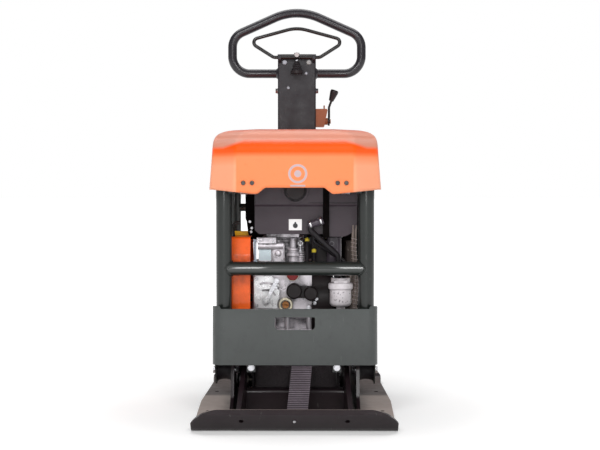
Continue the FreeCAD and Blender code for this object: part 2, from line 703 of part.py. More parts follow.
def hood_body(inset):
    """The hood's outer body, or with an inset the space inside it.

    The walls lean in a little up to the shoulder, and round over above it."""
    walls = [
        (HOOD_BOTTOM - 2 * inset, 262, HOOD_FRONT, HOOD_BACK, 182),
        (812, 252, HOOD_FRONT + 4, HOOD_BACK - 2, 178),
    ]
    crown = [
        (812, 252, HOOD_FRONT + 4, HOOD_BACK - 2, 178),
        (838, 250, HOOD_FRONT + 9, HOOD_BACK - 5, 176),
        (856, 246, HOOD_FRONT + 28, HOOD_BACK - 11, 170),
        (868, 237, HOOD_FRONT + 46, HOOD_BACK - 20, 158),
        (877, 218, HOOD_FRONT + 66, HOOD_BACK - 36, 142),
        (HOOD_TOP, 186, HOOD_FRONT + 92, HOOD_BACK - 60, 116),
    ]

    def loft(levels, ruled):
        wires = [
            hood_wire(z - inset * (z > HOOD_TOP - 20), half - inset, front + inset, back - inset,
                      flat - inset * 0.4, 34 - inset)
            for z, half, front, back, flat in levels
        ]
        return Part.makeLoft(wires, True, ruled)

    return fuse(loft(walls, True), loft(crown, False))


HOOD_SCREW_X = (127.0, 153.0)
HOOD_SCREW_Z = 719.0


def make_hood():
    """A moulded hood, open below, with a raised notch in the front edge and an opening over the
    lifting eye."""
    shell = cut(hood_body(0.0), hood_body(HOOD_WALL))
    edge = [(-280, 650), (280, 650), (280, 699), (250, 699), (122, 686.5), (111, 686.5), (88, 705)]
    edge += [(-x, z) for x, z in reversed(edge[3:])] + [(-280, 699)]
    below_front = prism("y", edge, -360, -200, [0, 0, 0, 0, 20, 14, 12, 12, 14, 20, 0, 0])
    below_rest = box((-300, 300), (-201, 320), (650, 699))
    eye_opening = rounded_box((-60, 60), (-50, 50), (865, 890), 15)
    screws = [rod("y", (x, HOOD_SCREW_Z), 3, -345, -320) for s in HOOD_SCREW_X for x in (-s, s)]
    screws += [rod("y", (x, HOOD_SCREW_Z), 6.5, -345, -333.2) for s in HOOD_SCREW_X for x in (-s, s)]
    return cut(shell, below_front, below_rest, eye_opening, *screws)


def make_hood_hinges(hood):
    """Two hinge leaves: a knuckle round each pin and a plate against the inside of the hood's front."""
    low, high = 116, 164
    knuckle = rod("x", (HOOD_HINGE_Y, HOOD_HINGE_Z), 10, low, high)
    web = box((low, high), (-332, HOOD_HINGE_Y), (HOOD_HINGE_Z + 3, HOOD_HINGE_Z + 9))
    leaf = box((low, high), (-336, -326), (HOOD_HINGE_Z + 3, 732))
    bore = rod("x", (HOOD_HINGE_Y, HOOD_HINGE_Z), 7 + RUNNING_CLEARANCE, 90, 180)
    one = cut(fuse(knuckle, web, leaf), bore)
    one = cut(one, hood, *[rod("y", (x, HOOD_SCREW_Z), 3, -345, -315) for x in HOOD_SCREW_X])
    one = largest(one)
    one = cut(one, box((low - 1, high + 1), (-345, -333.4), (HOOD_HINGE_Z, 740)))
    return [one, mirror_x(one)]


def make_hood_screws():
    """Button-head screws through the hood's front into the hinge leaves."""
    screws = []
    for s in HOOD_SCREW_X:
        for x in (-s, s):
            head = soften(rod("y", (x, HOOD_SCREW_Z), 6.5, -338.5, -333.2), 2.5,
                          lambda e: e.BoundBox.YMax < -338)
            socket = hexagon("y", (x, HOOD_SCREW_Z), 4, -340, -336)
            screws.append(cut(fuse(head, rod("y", (x, HOOD_SCREW_Z), 3, -334, -326)), socket))
    return screws


# ---------------------------------------------------------------- engine

ENGINE_FRONT = -150.0
CRANKCASE_X = (-134.0, 51.0)
CRANKCASE_TOP = 470.0
CRANK_RADIUS = 17.0
OIL_FILLER = (-9.0, 435.0)
STARTER_HUB = (-30.5, 341.0)
SHROUD_RADIUS = 118.0
ENGINE_FEET = [(x, y) for x in (-110, 40) for y in (-158.6, 88.6)]


def front_disc(x, z, radius, depth, back=ENGINE_FRONT):
    """A round boss standing out from the engine's front."""
    return rod("y", (x, z), radius, back - depth, back)


def make_crankcase():
    case = rounded_box(CRANKCASE_X, (ENGINE_FRONT, 80), (218, CRANKCASE_TOP), 14, "x")
    case = soften(case, 8, lambda e: e.Length > 100 and abs(e.CenterOfMass.x - CRANKCASE_X[0]) < 0.1)
    foot = rounded_box((-134, 62), (-166, 96), (DECK_TOP, 220), 10)
    ribs = [box((-128, 45), (ENGINE_FRONT - 5, ENGINE_FRONT), (z, z + 4)) for z in (236, 252, 268, 284, 300)]
    lugs = [front_disc(x, z, 9, 7) for x, z in ((-122, 446), (38, 452), (-60, 456), (40, 330), (10, 314))]
    filler = front_disc(*OIL_FILLER, 21, 8)
    hub = front_disc(*STARTER_HUB, 26, 4)
    case = fuse(case, foot, *ribs, *lugs, filler, hub)
    neck = front_disc(*OIL_FILLER, 12, 20)
    bore = rod("x", (CRANK_Y, CRANK_Z), CRANK_RADIUS + RUNNING_CLEARANCE, -140, 60)
    holes = [rod("z", place, 4, 200, 225) for place in ENGINE_FEET]
    pocket = rounded_box((-62, 60), (-200, -104), (262, 322), 8, "y")
    posts = [rod("z", (x, -132), 8, 260, 324) for x in (-26, 42)]
    bar = rod("x", (-122, 306), 13, -26, 42)
    return fuse(cut(case, pocket, bore, *holes), neck, *posts, bar)


def make_engine_cylinder():
    """The finned barrel, its head and rocker cover, and the plate that carries the tank."""
    barrel = box((-92, 12), (-76, 36), (CRANKCASE_TOP, 566))
    fins = [rounded_box((-104, 24), (-84, 44), (z, z + 3), 8) for z in range(480, 556, 11)]
    head = rounded_box((-100, 20), (-82, 44), (562, 640), 10)
    cover = rounded_box((-92, 12), (-74, 36), (640, 676), 14)
    plate = box((-90, 10), (-150, -74), (551, 561))
    port = rod("x", (-20, 600), 21, 18, 34)
    return cut(fuse(barrel, *fins, head, cover, plate, port), rod("x", (-20, 600), 14, 10, 36))


def make_injection_pump():
    """The pump and its governor block on top of the crankcase, with a ribbed filter beside them."""
    body = rounded_box((-112, -45), (-146, -100), (CRANKCASE_TOP, 540), 6)
    block = box((-120, -60), (-170, -110), (532, 550))
    rail = rod("x", (-152, 524), 12, -117, -38)
    plate = rounded_box((-115, -75), (-152, -145), (476, 514), 4, "y")
    studs = [rod("y", (x, 544), 4, -176, -168) for x in (-106, -72)]
    pump = fuse(body, block, rail, plate, *studs)
    stack = [rod("z", (16, -132), 13, CRANKCASE_TOP, 524)]
    stack += [rod("z", (16, -132), 17, z, z + 3) for z in range(474, 522, 7)]
    stack.append(hexagon("z", (16, -132), 18, 524, 534))
    return [pump, fuse(*stack)]


def arc_slot(centre, radius, width, start, end, low, high):
    """A curved slot through a plate that faces the front, as (x, z), with angles in degrees."""
    def on(r, angle):
        a = math.radians(angle)
        return Vector(centre[0] + r * math.cos(a), low, centre[1] + r * math.sin(a))

    inner, outer, middle = radius - width / 2, radius + width / 2, (start + end) / 2
    edges = [
        Part.Arc(on(outer, start), on(outer, middle), on(outer, end)).toShape(),
        Part.LineSegment(on(outer, end), on(inner, end)).toShape(),
        Part.Arc(on(inner, end), on(inner, middle), on(inner, start)).toShape(),
        Part.LineSegment(on(inner, start), on(outer, start)).toShape(),
    ]
    return Part.Face(Part.Wire(edges)).extrude(AXES["y"] * (high - low))


SPEED_PIVOT = (-92.0, 352.0)


def make_governor_plate():
    """The plate with curved slots that sets the engine's speed range, and the lever's pin."""
    plate = prism("y", [(-129, 330), (-50, 330), (-50, 400), (-72, 429), (-129, 429)],
                  ENGINE_FRONT - 8, ENGINE_FRONT, [10, 10, 12, 12, 10])
    slots = [arc_slot(SPEED_PIVOT, r, 6, 30, 110, ENGINE_FRONT - 10, ENGINE_FRONT + 2) for r in (34, 56)]
    pin = rod("y", SPEED_PIVOT, 5, ENGINE_FRONT - 20, ENGINE_FRONT)
    hub_space = rod("y", STARTER_HUB, 26.5, ENGINE_FRONT - 10, ENGINE_FRONT + 1)
    return fuse(cut(plate, hub_space, *slots), pin)


def make_speed_lever():
    """A bright lever on the governor plate's pin."""
    low, high = ENGINE_FRONT - 13, ENGINE_FRONT - 8.5
    hub = rod("y", SPEED_PIVOT, 11, low, high)
    arm = box((SPEED_PIVOT[0], SPEED_PIVOT[0] + 72), (low, high), (SPEED_PIVOT[1] - 6, SPEED_PIVOT[1] + 6))
    end = rod("y", (SPEED_PIVOT[0] + 72, SPEED_PIVOT[1]), 8, low - 6, high)
    lever = fuse(hub, arm, end)
    lever.rotate(Vector(SPEED_PIVOT[0], 0, SPEED_PIVOT[1]), AXES["y"], -62)
    return cut(lever, rod("y", SPEED_PIVOT, 5 + RUNNING_CLEARANCE, low - 5, high + 5))


def make_starter_hub():
    """The crank-start bearing: a ring and the cross-slotted end of the starter shaft."""
    low, high = ENGINE_FRONT - 26, ENGINE_FRONT - 4
    collar = soften(ring("y", STARTER_HUB, 22.5, 14, low, high), 2, lambda e: e.BoundBox.YMax < low + 0.1)
    core = cut(rod("y", STARTER_HUB, 11, low + 4, high), box((-45, -16), (low, low + 12), (338.5, 343.5)))
    return [collar, core]


def make_filter_caps(shroud_body):
    """Two round black caps on one housing."""
    left = soften(front_disc(-4, 384, 24, 36), 5, lambda e: e.BoundBox.YMax < ENGINE_FRONT - 35)
    right = soften(front_disc(48, 376, 22, 28), 5, lambda e: e.BoundBox.YMax < ENGINE_FRONT - 27)
    housing = box((-3, 60), (ENGINE_FRONT - 18, ENGINE_FRONT), (362, 399))
    return cut(fuse(housing, left, right), shroud_body)


def make_oil_filler_cap():
    """A winged cap on the filler neck."""
    back = ENGINE_FRONT - 8.5
    flange = rod("y", OIL_FILLER, 20.5, back - 3, back)
    grip = soften(rod("y", OIL_FILLER, 18, back - 18, back - 3), 3, lambda e: e.BoundBox.YMax < back - 17)
    scallops = [rod("y", place, 4, back - 19, back - 3) for place in around(OIL_FILLER, 20, 8)]
    cap = cut(fuse(flange, grip), *scallops)
    return cut(cap, rod("y", OIL_FILLER, 12.3, back - 13, back + 1))


def shroud_outer():
    round_part = rod("x", (CRANK_Y, CRANK_Z), SHROUD_RADIUS, CRANKCASE_X[1], 118)
    duct = rounded_box((CRANKCASE_X[1], 118), (-110, 40), (CRANK_Z, 545), 12, "x")
    return fuse(round_part, duct)


def make_fan_shroud(outer):
    """The fan housing on the engine's right, with a grille in its end and a duct up to the fins."""
    inner = fuse(
        rod("x", (CRANK_Y, CRANK_Z), SHROUD_RADIUS - 4, 55, 114),
        rounded_box((55, 114), (-106, 36), (CRANK_Z, 541), 8, "x"),
    )
    shaft_hole = rod("x", (CRANK_Y, CRANK_Z), 24, 50, 60)
    outlet = box((50, 60), (-80, 30), (478, 538))
    grille = [
        box((112, 120), (CRANK_Y - 70, CRANK_Y + 70), (CRANK_Z + z - 3, CRANK_Z + z + 3))
        for z in range(-48, 49, 16)
    ]
    return cut(outer, inner, shaft_hole, outlet, *grille)


def make_flywheel():
    """The flywheel with its fan blades."""
    wheel = rod("x", (CRANK_Y, CRANK_Z), 96, 62, 80)
    hub = rod("x", (CRANK_Y, CRANK_Z), 28, 62, 104)
    blades = []
    for i in range(16):
        blade = box((79, 104), (CRANK_Y + 62, CRANK_Y + 96), (CRANK_Z - 2, CRANK_Z + 2))
        blade.rotate(Vector(80, CRANK_Y, CRANK_Z), AXES["x"], 22.5 * i)
        blades.append(blade)
    return cut(fuse(wheel, hub, *blades), rod("x", (CRANK_Y, CRANK_Z), 14, 60, 120))


def make_crankshaft():
    """The crankshaft as a bar that runs through the case. What it drives inside is left out."""
    return fuse(
        rod("x", (CRANK_Y, CRANK_Z), 12.5, -182, -130),
        rod("x", (CRANK_Y, CRANK_Z), CRANK_RADIUS, -134, 60),
        rod("x", (CRANK_Y, CRANK_Z), 14, 60, 106),
    )


def make_clutch_shoes():
    """The clutch hub with its two shoes."""
    centre = (CRANK_Y, CRANK_Z)
    hub = ring("x", centre, 21, 12.5, -179, -156)
    shoes = ring("x", centre, 37.5, 21, -175, -157)
    gaps = box((-180, -150), (CRANK_Y - 4, CRANK_Y + 4), (CRANK_Z - 40, CRANK_Z + 40))
    shoes = cut(shoes, gaps)
    return [hub] + shoes.Solids


def make_clutch_drum():
    """The grooved drum, a cup open to the left that runs on the crankshaft."""
    centre = (CRANK_Y, CRANK_Z)
    drum = grooved_wheel(centre, DRUM_RADIUS, 14)
    return cut(drum, rod("x", centre, 38, -180, -153), rod("x", centre, 12.5 + RUNNING_CLEARANCE, -180, -140))


GUARD_LEFT = -207.0


def guard_outline(inset):
    """The belt guard seen from the side, as (y, z)."""
    return [
        (-220 + inset, 212 - inset), (62 - inset, 212 - inset), (62 - inset, 420),
        (-20 - inset / 2, 553 - inset), (-196 + inset, 553 - inset), (-220 + inset, 500),
    ]


def make_belt_guard():
    """A pressed cover over the belt and the clutch, open below and towards the engine."""
    radii = [0, 0, 60, 60, 10, 10]
    outer = prism("x", guard_outline(0), GUARD_LEFT, -138, radii)
    outer = soften(outer, 4, lambda e: abs(e.CenterOfMass.x - GUARD_LEFT) < 0.1 and e.CenterOfMass.z > 214)
    inner = prism("x", guard_outline(2.5), GUARD_LEFT + 2.5, -137, [0, 0, 57, 57, 8, 8])
    strips = [box((GUARD_LEFT + 2.5, -134), (y, y + 20), (z, z + 3)) for y, z in ((-120, 440), (30, 400))]
    feet = [box((GUARD_LEFT, -180), (y, y + 14), (DECK_TOP, 213)) for y in (-216, 44)]
    return fuse(cut(outer, inner), *strips, *feet)


def make_guard_fittings():
    """A yellow rail across the back of the guard's top, and a bent grip on its left edge."""
    top = 553
    rail = rounded_box((-200, -148), (-56, -40), (top, top + 13), 3, "y")
    grip = bent_rod([(-192, -150, top), (-198, -150, top + 38), (-172, -150, top + 44)], [0, 14, 0], 5)
    grip = cut(grip, box((-220, -160), (-170, -130), (top - 10, top)))
    return [rail, grip]


TANK_Y = (-205.0, -86.0)
TANK_CAP = (0.0, 697.0)
TANK_STEP_Y = -199.0            # the tank's front below its step


def tank_body():
    outline = [
        (-125, 574), (-111, 562), (94, 562), (106, 554), (190, 554), (190, 736), (172, 760), (-109, 760),
        (-125, 744),
    ]
    body = prism("y", outline, *TANK_Y, [6, 8, 6, 8, 50, 20, 20, 14, 12])
    below = [(-208, 500), (TANK_STEP_Y, 500), (TANK_STEP_Y, 647), (-205, 653), (-208, 653)]
    step = prism("x", below, -140, 200)
    return cut(body, step)


def make_fuel_tank(body):
    """A moulded tank with a filler neck in a round recess on its front."""
    body = soften(body, 4, lambda e: abs(e.CenterOfMass.y - TANK_Y[0]) < 0.1 and e.Length > 20)
    recess = rod("y", TANK_CAP, 35, -208, -195)
    rim = ring("y", TANK_CAP, 41, 35, -207, -195)
    groove = box((41, 195), (-206, -202.5), (657, 660))
    inside = prism("y", [(-122, 580), (184, 580), (184, 732), (168, 754), (-108, 754), (-122, 740)],
                   -184, TANK_Y[1] - 5, 6)
    neck = ring("y", TANK_CAP, 22, 17, -203, -190)
    outlet = rounded_box((68, 84.5), (-216, -184), (591, 613), 3, "y")
    body = cut(body, recess, groove, inside)
    return cut(fuse(body, rim, neck, outlet), rod("y", TANK_CAP, 17, -206, -180))


def make_fuel_cap():
    """A screw cap with finger scallops, over the neck."""
    cap = soften(rod("y", TANK_CAP, 29.5, -214, -197), 4, lambda e: e.BoundBox.YMax < -213)
    scallops = [rod("y", place, 5, -215, -196) for place in around(TANK_CAP, 32, 12)]
    return cut(cap, rod("y", TANK_CAP, 22.4, -205, -196), *scallops)


def make_tank_strap(body):
    """A dark band round the tank."""
    band = box((85, 104), (TANK_Y[0] - 2.5, TANK_Y[1] + 2.5), (551, 762.5))
    core = prism("y", [(60, 562), (94, 562), (120, 546.9), (120, 760), (60, 760)], *TANK_Y)
    return cut(band, body, core.common(body), box((80, 110), (TANK_Y[0] + 2, TANK_Y[1]), (563, 760)))


def make_tank_carrier():
    """The sheet between the engine's head and the tank, which holds the tank and stands out on its left."""
    outline = [(-159, 738), (60, 738), (60, 568), (-127, 568), (-127, 548), (-136, 548), (-136, 578),
               (-159, 604)]
    return prism("y", outline, TANK_Y[1], TANK_Y[1] + 4, [8, 8, 8, 4, 2, 2, 4, 10])


def make_wiring_loom(tank):
    """Two sleeved wires between the tank's right side and the deck, in gentle bends."""
    wires = []
    places = [(178, 590), (176, 520), (180, 460), (183, 400), (179, 340), (182, 280), (178, DECK_TOP + 0.4)]
    for offset, radius in ((0, 4.0), (8.2, 3.2)):
        points = [(x + offset, -196, z) for x, z in places]
        wires.append(cut(bent_rod(points, [0, 60, 60, 60, 60, 60, 0], radius), tank))
    return wires


CANISTER = (139.0, -205.0)
CANISTER_TOP = 428.0


def make_canister():
    """A white filter bowl with a wider collar and a flat head, on a stalk from the deck."""
    stalk = rod("z", CANISTER, 13, DECK_TOP, 345)
    bowl = soften(rod("z", CANISTER, 33, 340, 396), 13, lambda e: e.BoundBox.ZMax < 341)
    collar = soften(rod("z", CANISTER, 38, 392, 414), 7, lambda e: e.Length > 200)
    head = rod("z", CANISTER, 29, 414, CANISTER_TOP)
    lugs = [box((CANISTER[0] + x - 6, CANISTER[0] + x + 6), (-236, -174), (414, 422)) for x in (-14, 14)]
    return fuse(stalk, bowl, collar, head, *lugs)


HOSE_RADII = (9.0, 6.0)
HOSE_BEND = 16.0


def make_fuel_hoses(tank):
    """Two hoses to the canister, one from an elbow on the tank's front and one from the tank's underside."""
    feed = [(78, -209.5, 603), (32, -209.5, 587), (131, -209.5, 496), (131, -209.5, CANISTER_TOP)]
    back = [(56, -168, 562), (56, -168, 538), (151, -192, 478), (151, -192, CANISTER_TOP)]
    hoses = []
    for points, radius in zip((feed, back), HOSE_RADII):
        bends = [0, HOSE_BEND, HOSE_BEND, 0]
        print(f"hose: length {corner_path(points, bends).Length:.0f} mm, bend radius {HOSE_BEND:.0f} mm")
        hoses.append(cut(bent_rod(points, bends, radius), tank))
    return hoses


def make_intake_duct(shroud_body):
    """A moulded duct in front of the fan housing."""
    return largest(cut(rounded_box((97, 143), (-158, -110), (440, 550), 12), shroud_body))


def make_exhaust():
    """The exhaust pipe from the head, down to the silencer, and the shield round it."""
    points = [(34, -20, 600), (168, -20, 600), (168, -20, 290)]
    pipe = bent_tube(points, [0, 50, 0], 17, 2)
    shield = ring("z", (168, -20), 26, 24.5, 300, 540)
    spacers = [ring("z", (168, -20), 24.5, 17, z, z + 6) for z in (302, 420, 532)]
    silencer = rounded_box((132, 206), (-80, 120), (DECK_TOP + 6, 290), 22, "y")
    feet = [box((150, 188), (y, y + 20), (DECK_TOP, DECK_TOP + 8)) for y in (-60, 80)]
    tail = rod("y", (168, 250), 14, 118, 150)
    silencer = cut(fuse(silencer, *feet, tail), rod("y", (168, 250), 11, 100, 160))
    return pipe, fuse(shield, *spacers), silencer


# ---------------------------------------------------------------- mast and handle


MAST_LARGE_BOLTS = [(-42.0, 1138.0), (42.0, 1138.0)]
MAST_SMALL_BOLTS = [(32.5, 1100.0), (-29.5, 1050.0)]
MAST_SIDE_BOLT = (PIVOT_Y, 1041.0)


def make_mast():
    """A box-section mast with its pivot tube and the lugs of the travel lever."""
    low, high = MAST_Z
    outer = rounded_box((-MAST_HALF, MAST_HALF), MAST_Y, (low, high), 5)
    inner = rounded_box((-MAST_HALF + MAST_WALL, MAST_HALF - MAST_WALL),
                        (MAST_Y[0] + MAST_WALL, MAST_Y[1] - MAST_WALL), (low - 1, high + 1), 2)
    boss = rod("x", (PIVOT_Y, PIVOT_Z), 18, MAST_HALF - 26, MAST_HALF - 1)
    front = MAST_Y[0] + 1
    lug = prism("x", [(281, 1144), (front, 1136), (front, high), (302, high), (302, 1164), (281, 1164)],
                54, 64, [8, 0, 0, 0, 5, 7])
    mast = fuse(cut(outer, inner), boss, mirror_x(boss), lug, mirror_x(lug))
    bores = [
        rod("x", (PIVOT_Y, PIVOT_Z), PIN_RADIUS + RUNNING_CLEARANCE, -80, 80),
        rod("x", (TRAVEL_BAR_Y, TRAVEL_BAR_Z), TRAVEL_BAR_RADIUS + RUNNING_CLEARANCE, -80, 80),
    ]
    screws = [rod("y", place, 4, 295, 312) for place in MAST_LARGE_BOLTS]
    screws += [rod("y", place, 2.5, 295, 312) for place in MAST_SMALL_BOLTS]
    sides = [rod("x", MAST_SIDE_BOLT, 5, x - 8, x + 8) for x in (-MAST_HALF, MAST_HALF)]
    return cut(mast, *bores, *screws, *sides)


def make_mast_cap():
    """A black cap that closes the mast's top, with a plug that reaches into it."""
    low, wall = MAST_Z[1], MAST_WALL + 0.3
    cap = rounded_box((-MAST_HALF - 0.8, MAST_HALF + 0.8), (MAST_Y[0] - 2, MAST_Y[1] + 2),
                      (low, MAST_TOP + 8), 7, "y")
    cap = cut(cap, box((-80, 80), (290, 370), (MAST_TOP, MAST_TOP + 20)))
    cap = soften(cap, 3, lambda e: e.BoundBox.ZMin > MAST_TOP - 0.1)
    plug = rounded_box((-MAST_HALF + wall, MAST_HALF - wall), (MAST_Y[0] + wall, MAST_Y[1] - wall),
                       (low - 8, low), 2)
    return fuse(cap, plug)


def make_mast_bolts():
    bolts = [hex_bolt("y", place, MAST_Y[0], -1, 8, MAST_WALL) for place in MAST_LARGE_BOLTS]
    bolts += [hex_bolt("y", place, MAST_Y[0], -1, 5, MAST_WALL) for place in MAST_SMALL_BOLTS]
    bolts += [hex_bolt("x", MAST_SIDE_BOLT, side * MAST_HALF, side, 10, MAST_WALL) for side in (-1, 1)]
    return bolts


def make_handle_grip():
    """The handle: one bent tube whose ends meet the mast's sides at a weld bead."""
    y, side_z, peak_z = PIVOT_Y, 1229, 1329
    points = [
        (MAST_HALF, y, GRIP_Z), (GRIP_HALF, y, GRIP_Z), (GRIP_HALF, y, side_z), (0, y, peak_z),
        (-GRIP_HALF, y, side_z), (-GRIP_HALF, y, GRIP_Z), (-MAST_HALF, y, GRIP_Z),
    ]
    grip = bent_tube(points, [0, 60, 56, 190, 56, 60, 0], GRIP_RADIUS, 2.5)
    bead = cut(cone("x", (y, GRIP_Z), GRIP_RADIUS + 5, GRIP_RADIUS, MAST_HALF, MAST_HALF + 6),
               rod("x", (y, GRIP_Z), GRIP_RADIUS - 1, MAST_HALF - 1, MAST_HALF + 7))
    return fuse(grip, bead, mirror_x(bead))


def make_travel_lever():
    """The travel lever: a closed loop of rod, whose lower bar turns in the mast's lugs. A plate bolted
    to the bar's middle reaches back over the valve's plunger."""
    y = TRAVEL_BAR_Y
    low, corner, peak = (80, TRAVEL_BAR_Z), (170, 1211), (0, 1257)
    loop = bent_rod(
        [(0, y, low[1]), (low[0], y, low[1]), (corner[0], y, corner[1]), (0, y, peak[1]),
         (-corner[0], y, corner[1]), (-low[0], y, low[1]), (0, y, low[1])],
        [0, 24, 15, 130, 15, 24, 0], TRAVEL_BAR_RADIUS)
    clamp = rounded_box((-9, 9), (y - 10, y + 5), (TRAVEL_BAR_Z - 6.5, TRAVEL_BAR_Z + 15), 4, "x")
    arm = rounded_box((-6, 6), (VALVE_Y - 7, y), (TRAVEL_BAR_Z - 4, TRAVEL_BAR_Z + 5), 3, "x")
    bolt = hex_bolt("y", (0, TRAVEL_BAR_Z + 8), y - 10, -1, 8, 2)
    return fuse(loop, clamp, arm, bolt)


def make_control_valve():
    """The ledge on the mast's front with the oil valve that the travel lever works."""
    ledge = rounded_box((-21, 21), (VALVE_Y - 21, MAST_Y[0]), (VALVE_TOP - 10, VALVE_TOP), 3, "y")
    plan = fuse(rod("z", (0, VALVE_Y), 21, 1080, 1120), box((-21, 21), (VALVE_Y, 320), (1080, 1120)))
    ledge = ledge.common(plan)
    neck = rod("z", (0, VALVE_Y), 10, VALVE_TOP, VALVE_TOP + 12)
    bore = rod("z", (0, VALVE_Y), 6 + RUNNING_CLEARANCE, VALVE_TOP - 8, VALVE_TOP + 20)
    return cut(fuse(ledge, neck), bore)


def make_valve_plunger():
    stem = rod("z", (0, VALVE_Y), 6, VALVE_TOP - 2, 1141)
    return fuse(stem, Part.makeSphere(6, Vector(0, VALVE_Y, 1141)))


def make_valve_boot():
    """A rubber bellows round the plunger, wide at its foot."""
    body = cone("z", (0, VALVE_Y), 18, 8, VALVE_TOP, VALVE_TOP + 33)
    folds = [
        soften(rod("z", (0, VALVE_Y), 20.5 - 0.33 * rise, VALVE_TOP + rise, VALVE_TOP + rise + 5), 1.5,
               lambda e: e.Length > 20)
        for rise in (0, 8, 16, 24)
    ]
    hollow = fuse(rod("z", (0, VALVE_Y), 10.3, VALVE_TOP - 1, VALVE_TOP + 13),
                  rod("z", (0, VALVE_Y), 6.4, VALVE_TOP - 1, VALVE_TOP + 40))
    return cut(fuse(body, *folds), hollow)


def make_throttle_box():
    """A tapered box on the mast's right side with a screw in its top, and the throttle lever's pin."""
    shell = prism("y", [(MAST_HALF, 915), (95, 915), (108, 978), (MAST_HALF, 978)], 312, 348, [0, 4, 5, 0])
    screw = rod("z", (95, THROTTLE_Y - 8), 2.5, 976, 990)
    boss = rod("x", (THROTTLE_Y, THROTTLE_Z), 12, 90, 107.5)
    centre = (THROTTLE_Y, THROTTLE_Z)
    pin = fuse(rod("x", centre, 5, 100, 115), rod("x", centre, 8, 115, 118))
    return fuse(shell, screw, boss, pin)


def make_throttle_lever():
    """A bent lever with a tapered knob."""
    hub = rod("x", (THROTTLE_Y, THROTTLE_Z), 15, 108, 114.5)
    foot = [(112, THROTTLE_Y, THROTTLE_Z + 10), (112, THROTTLE_Y, 984), (122, THROTTLE_Y, 1012)]
    arm = bent_rod(foot, [0, 20, 0], 4)
    knob = cone("z", (0, 0), 8, 14, 0, 30)
    knob = soften(fuse(knob, rod("z", (0, 0), 14, 30, 40)), 5, lambda e: e.BoundBox.ZMin > 39.9)
    knob.rotate(Vector(0, 0, 0), AXES["y"], 20)
    knob.translate(Vector(119, THROTTLE_Y, 1006))
    lever = fuse(hub, arm, knob)
    return cut(lever, rod("x", (THROTTLE_Y, THROTTLE_Z), 5 + RUNNING_CLEARANCE, 100, 120))


# ---------------------------------------------------------------- fasteners of the base


def make_exciter_fasteners():
    """The cover bolts and the bolts that hold the exciter to the sole plate."""
    bolts = []
    for y in (-SHAFT_Y, SHAFT_Y):
        for place in cover_bolt_places(y):
            for side in (-1, 1):
                bolts.append(hex_bolt("x", place, side * (EXCITER_HALF_X + 7), side, 6, 7))
    for x in (-100, -34, 34, 100):
        for y in (-168, 168):
            bolts.append(hex_bolt("z", (x, y), 30, 1, 12, 18))
    return bolts


def make_deck_bolts():
    """The bolts that hold the engine to the deck, and one in each tab below the deck's front."""
    engine = [hex_bolt("z", place, 220, 1, 8, 15) for place in ENGINE_FEET]
    return engine + [hex_bolt("y", (x, DECK_TAB_Z), DECK_TAB_FACE, -1, 10, 6) for x in DECK_TAB_X]


def make_buffer_bolts(face, outward, shank):
    """One bolt on the axis of each buffer, given for the right side and mirrored."""
    bolts = [
        hex_bolt("x", (y, BUFFER_Z), face, outward, 2 * BUFFER_BOLT_RADIUS, shank)
        for y in (-BUFFER_Y, BUFFER_Y)
    ]
    return bolts + [mirror_x(bolt) for bolt in bolts]


# ---------------------------------------------------------------- all nodes


